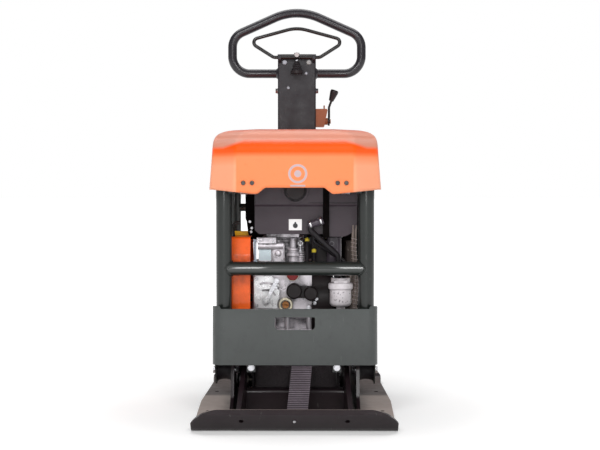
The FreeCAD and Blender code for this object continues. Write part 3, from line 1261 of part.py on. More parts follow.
def main():
    plate = make_base_plate()
    strap = make_limit_strap()
    tank = tank_body()
    shroud = shroud_outer()
    hood = make_hood()
    pipe, shield, silencer = make_exhaust()
    strap_block = largest(cut(box((-22, 34), (-424, -400), (12, 52)), strap, plate))

    save("base_plate", plate)
    save("base_ribs", *make_base_ribs(plate), strap_block)
    save("exciter_housing", make_exciter_housing())
    save("exciter_bearings", *make_exciter_bearings())
    save("bearing_covers", *make_bearing_covers())
    save("base_fasteners", *make_exciter_fasteners(), *make_buffer_bolts(RIB_X, -1, RIB_THICKNESS + 12))
    save("exciter_shaft_a", eccentric_shaft(-SHAFT_Y, (-185, 128), [(-104, -22), (22, 104)]))
    save("exciter_gear_a", gear(-SHAFT_Y, (-14, 14), 0.0))
    save("exciter_pulley", make_exciter_pulley())
    save("exciter_shaft_b", eccentric_shaft(SHAFT_Y, (-128, 128), [(-104, -22), (22, 104)]))
    save("exciter_gear_b", gear(SHAFT_Y, (-14, 14), math.pi / GEAR_TEETH))
    save("drive_belt", make_drive_belt())
    save("shock_buffers", *make_shock_buffers())
    save("limit_strap", strap)

    save("side_plates", *make_side_plates())
    save("bumper", make_bumper())
    save("engine_deck", make_engine_deck(strap))
    save("side_hoops", *make_side_hoops())
    save("cross_bars", *make_cross_bars())
    save("mast_bracket", *make_mast_bracket())
    save("mast_stop", make_mast_stop())
    save("hood_hinge_pins", *make_hood_hinge_pins())
    side_outer = SIDE_PLATE_X + SIDE_PLATE_THICKNESS
    buffer_bolts = make_buffer_bolts(side_outer, 1, SIDE_PLATE_THICKNESS + 10)
    save("frame_bolts", *buffer_bolts, *make_deck_bolts())

    save("crankcase", make_crankcase())
    save("engine_cylinder", make_engine_cylinder())
    save("injection_pump", *make_injection_pump())
    save("governor_plate", make_governor_plate())
    save("speed_lever", make_speed_lever())
    save("starter_hub", *make_starter_hub())
    save("filter_caps", make_filter_caps(shroud))
    save("oil_filler_cap", make_oil_filler_cap())
    save("fan_shroud", make_fan_shroud(shroud))
    save("flywheel", make_flywheel())
    save("crankshaft", make_crankshaft())
    save("clutch_shoes", *make_clutch_shoes())
    save("clutch_drum", make_clutch_drum())
    save("belt_guard", make_belt_guard())
    save("guard_fittings", *make_guard_fittings())
    fuel_tank = make_fuel_tank(tank)
    save("fuel_tank", fuel_tank)
    save("fuel_cap", make_fuel_cap())
    save("tank_holders", make_tank_strap(tank), make_tank_carrier())
    save("filter_canister", make_canister())
    save("hoses_and_wires", *make_fuel_hoses(fuel_tank), *make_wiring_loom(fuel_tank))
    save("intake_duct", make_intake_duct(shroud))
    save("exhaust_pipe", pipe)
    save("heat_shield", shield)
    save("silencer", silencer)

    save("hood", hood)
    save("hood_hinges", *make_hood_hinges(hood))
    save("hood_screws", *make_hood_screws())

    save("mast", make_mast())
    save("mast_cap", make_mast_cap())
    save("mast_bolts", *make_mast_bolts())
    save("handle_grip", make_handle_grip())
    save("travel_lever", make_travel_lever())
    save("control_valve", make_control_valve())
    save("valve_plunger", make_valve_plunger())
    save("valve_boot", make_valve_boot())
    save("throttle_box", make_throttle_box())
    save("throttle_lever", make_throttle_lever())


main()
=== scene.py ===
"""Looks of the plate compactor: materials, soft and fine pieces that the CAD leaves out, light and camera."""

import math
import bmesh
import bpy
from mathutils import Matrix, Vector


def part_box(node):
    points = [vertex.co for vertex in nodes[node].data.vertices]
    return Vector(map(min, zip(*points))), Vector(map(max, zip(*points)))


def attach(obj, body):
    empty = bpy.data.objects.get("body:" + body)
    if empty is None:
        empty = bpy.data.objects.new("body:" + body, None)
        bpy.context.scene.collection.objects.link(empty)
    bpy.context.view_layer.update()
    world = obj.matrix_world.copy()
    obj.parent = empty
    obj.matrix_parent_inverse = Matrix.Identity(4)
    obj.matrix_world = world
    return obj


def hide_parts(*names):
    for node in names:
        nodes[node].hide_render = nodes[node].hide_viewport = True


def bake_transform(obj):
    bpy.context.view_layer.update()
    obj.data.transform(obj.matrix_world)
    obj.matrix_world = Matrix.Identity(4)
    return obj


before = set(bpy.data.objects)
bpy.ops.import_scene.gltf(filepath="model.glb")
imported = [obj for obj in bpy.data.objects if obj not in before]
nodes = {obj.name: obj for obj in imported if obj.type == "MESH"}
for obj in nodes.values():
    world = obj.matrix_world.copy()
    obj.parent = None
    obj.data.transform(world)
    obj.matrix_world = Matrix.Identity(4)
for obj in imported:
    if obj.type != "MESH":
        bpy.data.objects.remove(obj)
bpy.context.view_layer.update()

# ------------------------------------------------------------------ material helpers


def linear(r, g, b):
    """An sRGB colour given as 0-255, as linear RGBA."""
    out = []
    for v in (r, g, b):
        v = v / 255
        out.append(v / 12.92 if v <= 0.04045 else ((v + 0.055) / 1.055) ** 2.4)
    return out + [1.0]


def scaled(colour, k):
    return [min(1.0, c * k) for c in colour[:3]] + [1.0]


class Surface:
    """A Principled material with its nodes, built one layer at a time, in the object's own coordinates.

    A Bevel node rounds the shading of sharp edges by edge_radius, which the CAD meshes don't have.
    """

    def __init__(self, name, colour, rough, metallic=0.0, coat=0.0, coat_rough=0.12, specular=0.5,
                 edge_radius=0.0009):
        self.material = bpy.data.materials.new(name)
        self.material.use_nodes = True
        self.tree = self.material.node_tree
        self.shader = self.tree.nodes["Principled BSDF"]
        self.shader.inputs["Metallic"].default_value = metallic
        self.shader.inputs["Coat Weight"].default_value = coat
        self.shader.inputs["Coat Roughness"].default_value = coat_rough
        self.shader.inputs["Specular IOR Level"].default_value = specular
        self.shader.inputs["Roughness"].default_value = rough
        self.shader.inputs["Base Color"].default_value = colour
        self.plain_colour = colour
        self.colour_out = None
        self.coords = self.tree.nodes.new("ShaderNodeTexCoord").outputs["Object"]
        edge = self.tree.nodes.new("ShaderNodeBevel")
        edge.samples = 4
        edge.inputs["Radius"].default_value = edge_radius
        self.normal_out = edge.outputs["Normal"]

    def node(self, kind, **values):
        n = self.tree.nodes.new(kind)
        for key, value in values.items():
            setattr(n, key, value)
        return n

    def link(self, a, b):
        self.tree.links.new(a, b)

    def noise(self, scale, detail=3.0, stretch=None, roughness=0.55, distortion=0.0):
        """A noise value at that many features per metre."""
        n = self.node("ShaderNodeTexNoise")
        n.inputs["Scale"].default_value = scale
        n.inputs["Detail"].default_value = detail
        n.inputs["Roughness"].default_value = roughness
        n.inputs["Distortion"].default_value = distortion
        source = self.coords
        if stretch:
            m = self.node("ShaderNodeMapping")
            m.inputs["Scale"].default_value = stretch
            self.link(source, m.inputs["Vector"])
            source = m.outputs["Vector"]
        self.link(source, n.inputs["Vector"])
        return n.outputs["Fac"]

    def cells(self, scale, feature="F1"):
        v = self.node("ShaderNodeTexVoronoi", feature=feature)
        v.inputs["Scale"].default_value = scale
        self.link(self.coords, v.inputs["Vector"])
        return v.outputs["Distance"]

    def ramp(self, value, low, high, low_to=0.0, high_to=1.0):
        m = self.node("ShaderNodeMapRange")
        m.inputs["From Min"].default_value = low
        m.inputs["From Max"].default_value = high
        m.inputs["To Min"].default_value = low_to
        m.inputs["To Max"].default_value = high_to
        self.link(value, m.inputs["Value"])
        return m.outputs["Result"]

    def math(self, kind, a, b=None, clamp=False):
        m = self.node("ShaderNodeMath", operation=kind, use_clamp=clamp)
        for socket, value in zip(m.inputs, (a, b)):
            if value is None:
                continue
            if isinstance(value, (int, float)):
                socket.default_value = value
            else:
                self.link(value, socket)
        return m.outputs["Value"]

    def tilt(self):
        """How far the surface faces up: -1 down, 0 level with a wall, 1 up."""
        s = self.node("ShaderNodeSeparateXYZ")
        self.link(self.node("ShaderNodeTexCoord").outputs["Normal"], s.inputs["Vector"])
        return s.outputs["Z"]

    def axis(self, letter):
        s = self.node("ShaderNodeSeparateXYZ")
        self.link(self.coords, s.inputs["Vector"])
        return s.outputs[letter.upper()]

    def tint(self, mask, colour, strength=1.0):
        """Mixes a colour over what is there, where the mask is high."""
        mix = self.node("ShaderNodeMix", data_type="RGBA")
        if self.colour_out is None:
            mix.inputs["A"].default_value = self.plain_colour
        else:
            self.link(self.colour_out, mix.inputs["A"])
        mix.inputs["B"].default_value = colour
        factor = mask if strength == 1.0 else self.math("MULTIPLY", mask, strength)
        self.link(factor, mix.inputs["Factor"])
        self.colour_out = mix.outputs["Result"]
        self.link(self.colour_out, self.shader.inputs["Base Color"])
        return self

    def bump(self, value, depth, strength=1.0):
        """Adds relief of that depth in metres."""
        b = self.node("ShaderNodeBump")
        b.inputs["Strength"].default_value = strength
        b.inputs["Distance"].default_value = depth
        self.link(value, b.inputs["Height"])
        self.link(self.normal_out, b.inputs["Normal"])
        self.normal_out = b.outputs["Normal"]
        self.link(self.normal_out, self.shader.inputs["Normal"])
        return self

    def roughness(self, value, low, high):
        """Roughness from a value that runs about 0.3 to 0.7."""
        self.link(self.ramp(value, 0.3, 0.7, low, high), self.shader.inputs["Roughness"])
        return self

    def grime_and_shade(self, colour, strength, distance=0.03):
        """Dirt and painted shade in corners and hollows: darker where ambient occlusion finds them, in
        patches.
        """
        ao = self.node("ShaderNodeAmbientOcclusion", samples=6)
        ao.inputs["Distance"].default_value = distance
        # Painted shade: occluded corners and hollows are darkened, mixed with patchy dirt.
        hidden = self.ramp(ao.outputs["AO"], 0.35, 0.95, 1.0, 0.0)
        patchy = self.math("MULTIPLY", hidden, self.ramp(self.noise(45, 5), 0.3, 0.65))
        return self.tint(patchy, colour, strength)


def powder_coat(name, colour, rough=0.42, dust=0.12, coat=0.0):
    """Satin powder coat: fine orange peel, faint clouding, pale dust and small rubbed marks."""
    s = Surface(name, colour, rough, specular=0.25, coat=coat, coat_rough=0.05)
    s.tint(s.ramp(s.noise(7, 4), 0.35, 0.7), scaled(colour, 1.18))
    s.tint(s.ramp(s.noise(60, 5), 0.52, 0.75), scaled(colour, 0.78), 0.5)
    s.tint(s.ramp(s.noise(320, 3), 0.62, 0.72), scaled(colour, 1.4), 0.2)
    scratch = s.ramp(s.noise(90, 6, stretch=(1.0, 0.12, 0.3)), 0.66, 0.7)
    s.tint(scratch, linear(150, 148, 144), dust)
    s.roughness(s.noise(26, 4), rough - 0.08, rough + 0.12)
    s.bump(s.noise(900, 2), 0.00012, 0.4)
    s.bump(s.noise(170, 2), 0.0002, 0.3)
    return s


def moulded(name, colour, rough=0.38, grain=0.00012, vary=1.12):
    """Moulded plastic with a fine leathery grain."""
    s = Surface(name, colour, rough, specular=0.3)
    s.tint(s.ramp(s.noise(5, 3), 0.35, 0.7), scaled(colour, vary))
    s.tint(s.ramp(s.noise(130, 5), 0.58, 0.75), scaled(colour, 0.8), 0.4)
    s.roughness(s.noise(34, 4), rough - 0.06, rough + 0.1)
    s.bump(s.cells(1500), grain, 0.5)
    s.bump(s.noise(240, 3), grain * 1.5, 0.35)
    return s


def cast_metal(name, colour, rough=0.5, metallic=0.85, grain=0.0005):
    """As-cast, bead-blasted metal with darker pores and brighter rubbed spots."""
    s = Surface(name, colour, rough, metallic=metallic)
    s.tint(s.ramp(s.noise(11, 4), 0.35, 0.7), scaled(colour, 0.72))
    s.tint(s.ramp(s.noise(420, 4), 0.55, 0.72), scaled(colour, 0.6), 0.6)
    s.tint(s.ramp(s.noise(38, 6), 0.6, 0.68), scaled(colour, 1.25), 0.5)
    s.roughness(s.noise(50, 5), rough - 0.12, rough + 0.15)
    s.bump(s.noise(650, 4), grain, 0.7)
    s.bump(s.cells(340), grain * 0.8, 0.35)
    return s


def plated(name, colour, rough=0.28):
    """Zinc-plated or ground steel with fine turning marks."""
    s = Surface(name, colour, rough, metallic=1.0)
    s.tint(s.ramp(s.noise(60, 5), 0.4, 0.7), scaled(colour, 0.75), 0.8)
    s.tint(s.ramp(s.noise(14, 3), 0.5, 0.75), linear(196, 184, 150), 0.18)
    s.roughness(s.noise(120, 4), rough - 0.08, rough + 0.14)
    s.bump(s.noise(1100, 2, stretch=(1.0, 1.0, 0.15)), 0.00008, 0.5)
    return s


def rubber(name, colour, rough=0.62, specular=0.2):
    """Matt rubber with a greyish bloom."""
    s = Surface(name, colour, rough, specular=specular)
    s.tint(s.ramp(s.noise(20, 5), 0.45, 0.7), scaled(colour, 1.7), 0.5)
    s.tint(s.ramp(s.noise(240, 3), 0.58, 0.7), scaled(colour, 0.6), 0.5)
    s.roughness(s.noise(60, 3), rough - 0.08, rough + 0.15)
    s.bump(s.noise(800, 3), 0.00015, 0.5)
    return s


# ------------------------------------------------------------------ places, from the frame


def corners(node):
    """Low and high corner of a CAD node, to 0.1 mm, as the facets of a round part fall short of its size."""
    return [Vector([round(v, 4) for v in corner]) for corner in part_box(node)]


def near(node, x, y, z):
    """The point that far from the low corner of a CAD node."""
    return corners(node)[0] + Vector((x, y, z))


def middle(node):
    low, high = corners(node)
    return (low + high) / 2


# ------------------------------------------------------------------ materials

FRAME_GREY = linear(28, 32, 30)
MAST_GREY = linear(34, 32, 37)
BASE_GREY = linear(34, 24, 28)
ORANGE = linear(247, 82, 4)
# Near black for dark corners: painted shade mixed with soot.
SOOT_AND_SHADE = linear(14, 13, 12)


def disc_mask(s, a, b, centre, radius, soft=0.0006):
    """1 inside a circle in two of the object's coordinates, given in metres."""
    da = s.math("SUBTRACT", a, centre[0])
    db = s.math("SUBTRACT", b, centre[1])
    square = s.math("ADD", s.math("MULTIPLY", da, da), s.math("MULTIPLY", db, db))
    return s.ramp(s.math("SQRT", square), radius - soft, radius + soft, 1.0, 0.0)


def band_mask(s, value, low, high, soft=0.0005):
    """1 where a value lies between low and high."""
    above = s.ramp(value, low - soft, low + soft)
    below = s.ramp(value, high - soft, high + soft, 1.0, 0.0)
    return s.math("MULTIPLY", above, below)


def box_mask(s, a, b, a_span, b_span):
    return s.math("MULTIPLY", band_mask(s, a, *a_span), band_mask(s, b, *b_span))


def frame_surface(name, colour, coat):
    s = powder_coat(name, colour, 0.34, dust=0.05, coat=coat)
    # Painted shade with soot in the frame's corners.
    return s.grime_and_shade(SOOT_AND_SHADE, 0.5)


def base_surface():
    """Plate paint: dusty and with painted light where it is level, less so towards the rear, where painted
    shade stands for the frame's shadow.
    """
    s = powder_coat("base_paint", BASE_GREY, 0.42, dust=0.12, coat=0.2)
    # Painted shade: behind y 0.085 to 0.125 the level top loses most of its pale tint, as under the frame's
    # shadow.
    shade_start, shade_full = 0.085, 0.125
    dust_and_light_front = s.ramp(s.axis("Y"), shade_start, shade_full, 1.0, 0.22)
    # Dust and painted light: level faces are pale.
    s.tint(s.math("MULTIPLY", s.ramp(s.tilt(), 0.9, 0.98), dust_and_light_front), linear(190, 174, 166), 0.8)
    # Painted shade with dirt in the plate's corners.
    return s.grime_and_shade(linear(28, 22, 22), 0.7, 0.06)


def hood_surface():
    """Satin moulded orange, with painted light: paler walls and side facets and a painted reflection on the
    shoulder, and a plain pale mark.
    """
    low, high = corners("hood")
    half, top, front = high.x, high.z, low.y
    s = Surface("hood_skin", ORANGE, 0.4, specular=0.16, edge_radius=0.014)
    x, y, z = (s.axis(c) for c in "XYZ")
    # Painted light: the walls below the shoulder are paler, a painted reflection of the bright floor.
    s.tint(s.ramp(z, top - 0.070, top - 0.086), linear(236, 138, 90), 0.9)
    aside = s.math("ABSOLUTE", x)
    facet = s.ramp(aside, half - 0.089, half - 0.084)
    under = s.ramp(z, top - 0.082, top - 0.112)
    # Painted light: the side facets below the shoulder are paler still, a painted reflection.
    s.tint(s.math("MULTIPLY", facet, under), linear(246, 176, 144), 0.6)
    # Painted reflection of the overhead light: a pale band on the sloping shoulder, reaching lower towards
    # the sides.
    height = s.math("ADD", z, s.ramp(aside, half - 0.111, half - 0.046, 0.0, 0.020))
    sloping = s.ramp(s.tilt(), 0.93, 0.998, 1.0, 0.2)
    shoulder_reflection = s.math("MULTIPLY", s.ramp(height, top - 0.043, top - 0.032), sloping)
    s.tint(shoulder_reflection, linear(194, 150, 132), 0.8)
    s.shader.inputs["Sheen Weight"].default_value = 0.3
    s.shader.inputs["Sheen Roughness"].default_value = 0.3
    s.shader.inputs["Sheen Tint"].default_value = (1.0, 0.97, 0.96, 1.0)
    s.tint(s.ramp(s.noise(3.5, 3), 0.35, 0.7), linear(255, 120, 46), 0.1)
    s.tint(s.ramp(s.noise(55, 5), 0.6, 0.75), linear(214, 88, 34), 0.12)
    s.tint(s.ramp(s.noise(500, 2), 0.66, 0.74), linear(250, 160, 112), 0.15)
    at = (0.0086, top - 0.1355)
    ring = s.math("SUBTRACT", disc_mask(s, x, z, at, 0.0285), disc_mask(s, x, z, at, 0.0215))
    bar = box_mask(s, x, z, (at[0] - 0.0225, at[0] + 0.0225), (at[1] - 0.0385, at[1] - 0.033))
    mark = s.math("ADD", s.math("ADD", ring, disc_mask(s, x, z, at, 0.0105)), bar, clamp=True)
    on_front = s.ramp(y, front + 0.017, front + 0.023, 1.0, 0.0)
    s.tint(s.math("MULTIPLY", mark, on_front), linear(186, 166, 170))
    s.roughness(s.noise(18, 4), 0.34, 0.46)
    s.bump(s.cells(1300), 0.00012, 0.35)
    return s.bump(s.noise(28, 2), 0.0005, 0.08)


def cast_iron_surface():
    s = cast_metal("cast_iron", linear(84, 76, 80), 0.6, metallic=0.1, grain=0.0022)
    s.bump(s.noise(150, 3), 0.003, 0.8)
    # Painted shade with dirt in corners and hollows.
    return s.grime_and_shade(linear(14, 12, 12), 0.8, 0.05)


def aluminium_surface():
    """Cast aluminium. On the injection pump's front a pale blue data plate with no writing."""
    s = cast_metal("aluminium", linear(226, 220, 226), 0.36, metallic=0.5)
    # Painted shade with dirt in corners and hollows.
    s.grime_and_shade(linear(16, 13, 14), 1.0, 0.03)
    start, end = near("injection_pump", 0.0065, 0.0255, 0.008), near("injection_pump", 0.0435, 0.0265, 0.0425)
    x, y, z = (s.axis(c) for c in "XYZ")
    plate = box_mask(s, x, z, (start.x, end.x), (start.z, end.z))
    return s.tint(s.math("MULTIPLY", plate, s.ramp(y, start.y, end.y, 1.0, 0.0)), linear(190, 208, 214), 0.8)


def exhaust_surface():
    """Heat-tinted steel with pale patches that are painted glints."""
    s = cast_metal("tinted_steel", linear(70, 62, 58), 0.34, metallic=0.8, grain=0.0006)
    # Painted highlights: pale glints in patches.
    glint_patches = s.ramp(s.noise(52, 5, stretch=(1.0, 1.0, 0.45)), 0.55, 0.62)
    s.tint(glint_patches, linear(176, 164, 156), 0.6)
    # Painted shade with soot in corners.
    return s.grime_and_shade(linear(10, 8, 8), 0.9, 0.06)


def duct_surface():
    """Glossy black duct with a round moulded mark."""
    s = moulded("duct_plastic", linear(64, 57, 65), 0.14)
    x, z = s.axis("X"), s.axis("Z")
    low = corners("intake_duct")[0]
    spot = (low.x + 0.016, low.z + 0.091)
    ring = s.math("SUBTRACT", disc_mask(s, x, z, spot, 0.0075), disc_mask(s, x, z, spot, 0.0055))
    return s.tint(ring, linear(120, 116, 124), 0.8)


def tank_surface():
    """Tank plastic, with a plain white sticker that shows a fuel drop."""
    s = moulded("tank_plastic", linear(54, 45, 51), 0.38, grain=0.0002, vary=1.25)
    # Painted shade with dirt in corners.
    s.grime_and_shade(linear(16, 13, 15), 0.9, 0.03)
    x, y, z = (s.axis(c) for c in "XYZ")
    low = corners("fuel_tank")[0]
    front = s.ramp(y, low.y + 0.019, low.y + 0.022, 1.0, 0.0)
    sticker = box_mask(s, x, z, (-0.020, 0.020), (low.z + 0.020, low.z + 0.054))
    drop = s.math("MAXIMUM", disc_mask(s, x, z, (0.0, low.z + 0.034), 0.0075),
                  disc_mask(s, x, z, (0.0, low.z + 0.0425), 0.003))
    s.tint(s.math("MULTIPLY", sticker, front), linear(232, 230, 230))
    return s.tint(s.math("MULTIPLY", drop, front), linear(50, 48, 52))


def filter_surface():
    """White plastic, with dark specks where the filter bowl's screen shows through."""
    s = moulded("white_plastic", linear(214, 208, 212), 0.26)
    s.tint(s.ramp(s.noise(26, 5), 0.5, 0.68), linear(168, 160, 158), 0.35)
    # Painted shade with dirt: grey in corners.
    s.grime_and_shade(linear(120, 112, 110), 0.7, 0.02)
    bottom = corners("filter_canister")[0].z
    window = band_mask(s, s.axis("Z"), bottom + 0.146, bottom + 0.184, 0.003)
    specks = s.ramp(s.noise(150, 2, stretch=(1.0, 1.0, 0.8)), 0.60, 0.64)
    return s.tint(s.math("MULTIPLY", window, specks), linear(70, 62, 70), 0.7)


def guard_fitting_surface():
    """The rail is yellow, the grip in front of it is black."""
    s = moulded("yellow_plastic", linear(255, 198, 30), 0.34)
    front = corners("guard_fittings")[0].y
    return s.tint(s.ramp(s.axis("Y"), front + 0.045, front + 0.055, 1.0, 0.0), linear(26, 24, 24))


def oil_cap_surface():
    """A red grip on an ivory flange."""
    s = moulded("red_plastic", linear(128, 18, 22), 0.34)
    x, z = s.axis("X"), s.axis("Z")
    centre = middle("oil_filler_cap")
    outside = s.math("SUBTRACT", 1.0, disc_mask(s, x, z, (centre.x, centre.z), 0.0185))
    return s.tint(outside, linear(214, 204, 184))


def hub_surface():
    """A pale ring round a bronze core."""
    s = plated("hub_metal", linear(206, 198, 176), 0.34)
    x, z = s.axis("X"), s.axis("Z")
    centre = middle("starter_hub")
    return s.tint(disc_mask(s, x, z, (centre.x, centre.z), 0.0125), linear(150, 104, 66))


def lever_surface():
    """Dark lever paint. The bolt of the travel lever's clamp is bare steel."""
    s = powder_coat("lever_paint", linear(20, 17, 17), 0.3, dust=0.1, coat=0.3)
    x, y, z = (s.axis(c) for c in "XYZ")
    low = corners("travel_lever")[0]
    head = disc_mask(s, x, z, (0.0, low.z + 0.0145), 0.0085)
    return s.tint(s.math("MULTIPLY", head, s.ramp(y, low.y + 0.0085, low.y + 0.009, 1.0, 0.0)),
                  linear(190, 186, 186), 0.9)


def hose_surface():
    """Black hoses. The sleeved wires, on the right, are brown-grey."""
    s = rubber("hose_rubber", linear(28, 25, 28), 0.34)
    right = corners("hoses_and_wires")[1].x
    return s.tint(s.ramp(s.axis("X"), right - 0.0283, right - 0.0243), linear(122, 110, 104))


# Strap: from the lip of the plate up to the deck. Its thickness of 5 mm adds to its box, not to its run.
STRAP_HALF = 0.0305
STRAP_PITCH = 0.0065
strap_low, strap_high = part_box("limit_strap")
STRAP_START = Vector((strap_low.x + STRAP_HALF, strap_low.y + 0.00362, strap_low.z))
STRAP_END = Vector((strap_high.x - STRAP_HALF, strap_high.y, strap_high.z - 0.00345))
strap_along = (STRAP_END - STRAP_START).normalized()


def strap_surface():
    """Grey rubber, with painted shade in the grooves between its ribs."""
    s = rubber("strap_rubber", linear(112, 102, 110), 0.42)
    along_y = s.math("MULTIPLY", s.axis("Y"), strap_along.y)
    run = s.math("ADD", along_y, s.math("MULTIPLY", s.axis("Z"), strap_along.z))
    start = STRAP_START.y * strap_along.y + STRAP_START.z * strap_along.z
    ribs_before = 10  # keeps the phase positive along the whole strap
    past = s.math("SUBTRACT", run, start - ribs_before * STRAP_PITCH)
    phase = s.math("FRACT", s.math("DIVIDE", past, STRAP_PITCH))
    # Painted shade: the grooves between the ribs are darkened.
    return s.tint(band_mask(s, phase, 0.62, 0.99, 0.05), linear(30, 26, 29), 0.85)


frame_paint = frame_surface("frame_paint", FRAME_GREY, 0.5)
# Painted light: the guard bar gets the frame's grey made 1.3 times lighter, a lit copy of the frame paint.
lit_bar_paint = frame_surface("lit_bar_paint", scaled(FRAME_GREY, 1.3), 0.95)
bumper_paint = powder_coat("bumper_paint", linear(58, 62, 61), 0.36, dust=0.05, coat=0.4)
# Painted shade with dirt in the bumper's corners.
bumper_paint.grime_and_shade(linear(20, 19, 18), 0.5, 0.02)
mast_paint = powder_coat("mast_paint", MAST_GREY, 0.34, dust=0.06, coat=0.3)
lever_paint = lever_surface()
base_paint = base_surface()
rib_paint = powder_coat("rib_paint", BASE_GREY, 0.42, dust=0.12, coat=0.2)
# Painted shade with dirt between the ribs.
rib_paint.grime_and_shade(linear(16, 12, 12), 0.7, 0.06)
belt_paint = powder_coat("belt_paint", linear(244, 96, 24), 0.34, dust=0.05, coat=0.3)
# Painted shade with dirt in the belt guard's corners.
belt_paint.grime_and_shade(linear(90, 40, 24), 0.6, 0.05)
hood_skin = hood_surface()

cast_iron = cast_iron_surface()
aluminium = aluminium_surface()
bright_plate = cast_metal("bright_plate", linear(238, 238, 240), 0.3, metallic=0.5, grain=0.0002)
# Painted shade with dirt in the plate's corners.
bright_plate.grime_and_shade(linear(20, 18, 18), 0.9, 0.02)
zinc = plated("zinc", linear(205, 205, 210))
dull_zinc = plated("dull_zinc", linear(128, 128, 134), 0.42)
dark_steel = plated("dark_steel", linear(80, 78, 80), 0.34)
hub_metal = hub_surface()
tinted_steel = exhaust_surface()

black_plastic = moulded("black_plastic", linear(26, 17, 19), 0.4)
# Painted shade with dirt in corners.
black_plastic.grime_and_shade(linear(12, 11, 11), 0.6)
duct_plastic = duct_surface()
tank_plastic = tank_surface()
white_plastic = filter_surface()
yellow_plastic = guard_fitting_surface()
cap_yellow = moulded("cap_yellow", linear(220, 196, 60), 0.4)
red_plastic = oil_cap_surface()
brown_plastic = moulded("brown_plastic", linear(140, 84, 54), 0.46)
sleeve_grey = moulded("sleeve_grey", linear(150, 138, 134), 0.3)
sight_plastic = moulded("sight_plastic", linear(186, 200, 214), 0.2)
black_rubber = rubber("black_rubber", linear(32, 29, 32), 0.5)
holder_rubber = rubber("holder_rubber", linear(8, 5, 5), 0.7, specular=0.04)
hose_rubber = hose_surface()
strap_rubber = strap_surface()

MATERIALS = {
    frame_paint: ["side_plates", "engine_deck", "side_hoops", "mast_bracket", "hood_hinge_pins"],
    lit_bar_paint: ["cross_bars"],
    bumper_paint: ["bumper"],
    mast_paint: ["mast", "handle_grip"],
    lever_paint: ["travel_lever", "mast_cap"],
    base_paint: ["base_plate"],
    rib_paint: ["base_ribs"],
    cast_iron: ["exciter_housing", "bearing_covers"],
    aluminium: ["crankcase", "engine_cylinder", "injection_pump"],
    bright_plate: ["governor_plate"],
    zinc: ["base_fasteners", "frame_bolts", "speed_lever", "hood_hinges", "valve_plunger"],
    dull_zinc: ["mast_bolts"],
    dark_steel: ["exciter_bearings", "exciter_shaft_a", "exciter_gear_a", "exciter_pulley", "exciter_shaft_b",
                 "exciter_gear_b", "flywheel", "crankshaft", "clutch_shoes", "clutch_drum", "hood_screws"],
    tinted_steel: ["exhaust_pipe", "heat_shield", "silencer"],
    black_plastic: ["filter_caps", "fan_shroud", "fuel_cap", "throttle_lever", "control_valve"],
    holder_rubber: ["tank_holders"],
    duct_plastic: ["intake_duct"],
    tank_plastic: ["fuel_tank"],
    white_plastic: ["filter_canister"],
    yellow_plastic: ["guard_fittings"],
    red_plastic: ["oil_filler_cap"],
    brown_plastic: ["throttle_box"],
    black_rubber: ["shock_buffers", "mast_stop", "valve_boot", "drive_belt"],
    hose_rubber: ["hoses_and_wires"],
    strap_rubber: ["limit_strap"],
    belt_paint: ["belt_guard"],
    hood_skin: ["hood"],
    hub_metal: ["starter_hub"],
}
for surface, names in MATERIALS.items():
    for name in names:
        mesh = nodes[name].data
        mesh.materials.clear()
        mesh.materials.append(surface.material)
unpainted = sorted(set(nodes) - {n for names in MATERIALS.values() for n in names})
if unpainted:
    raise SystemExit(f"nodes with no material: {unpainted}")

# ------------------------------------------------------------------ mesh pieces


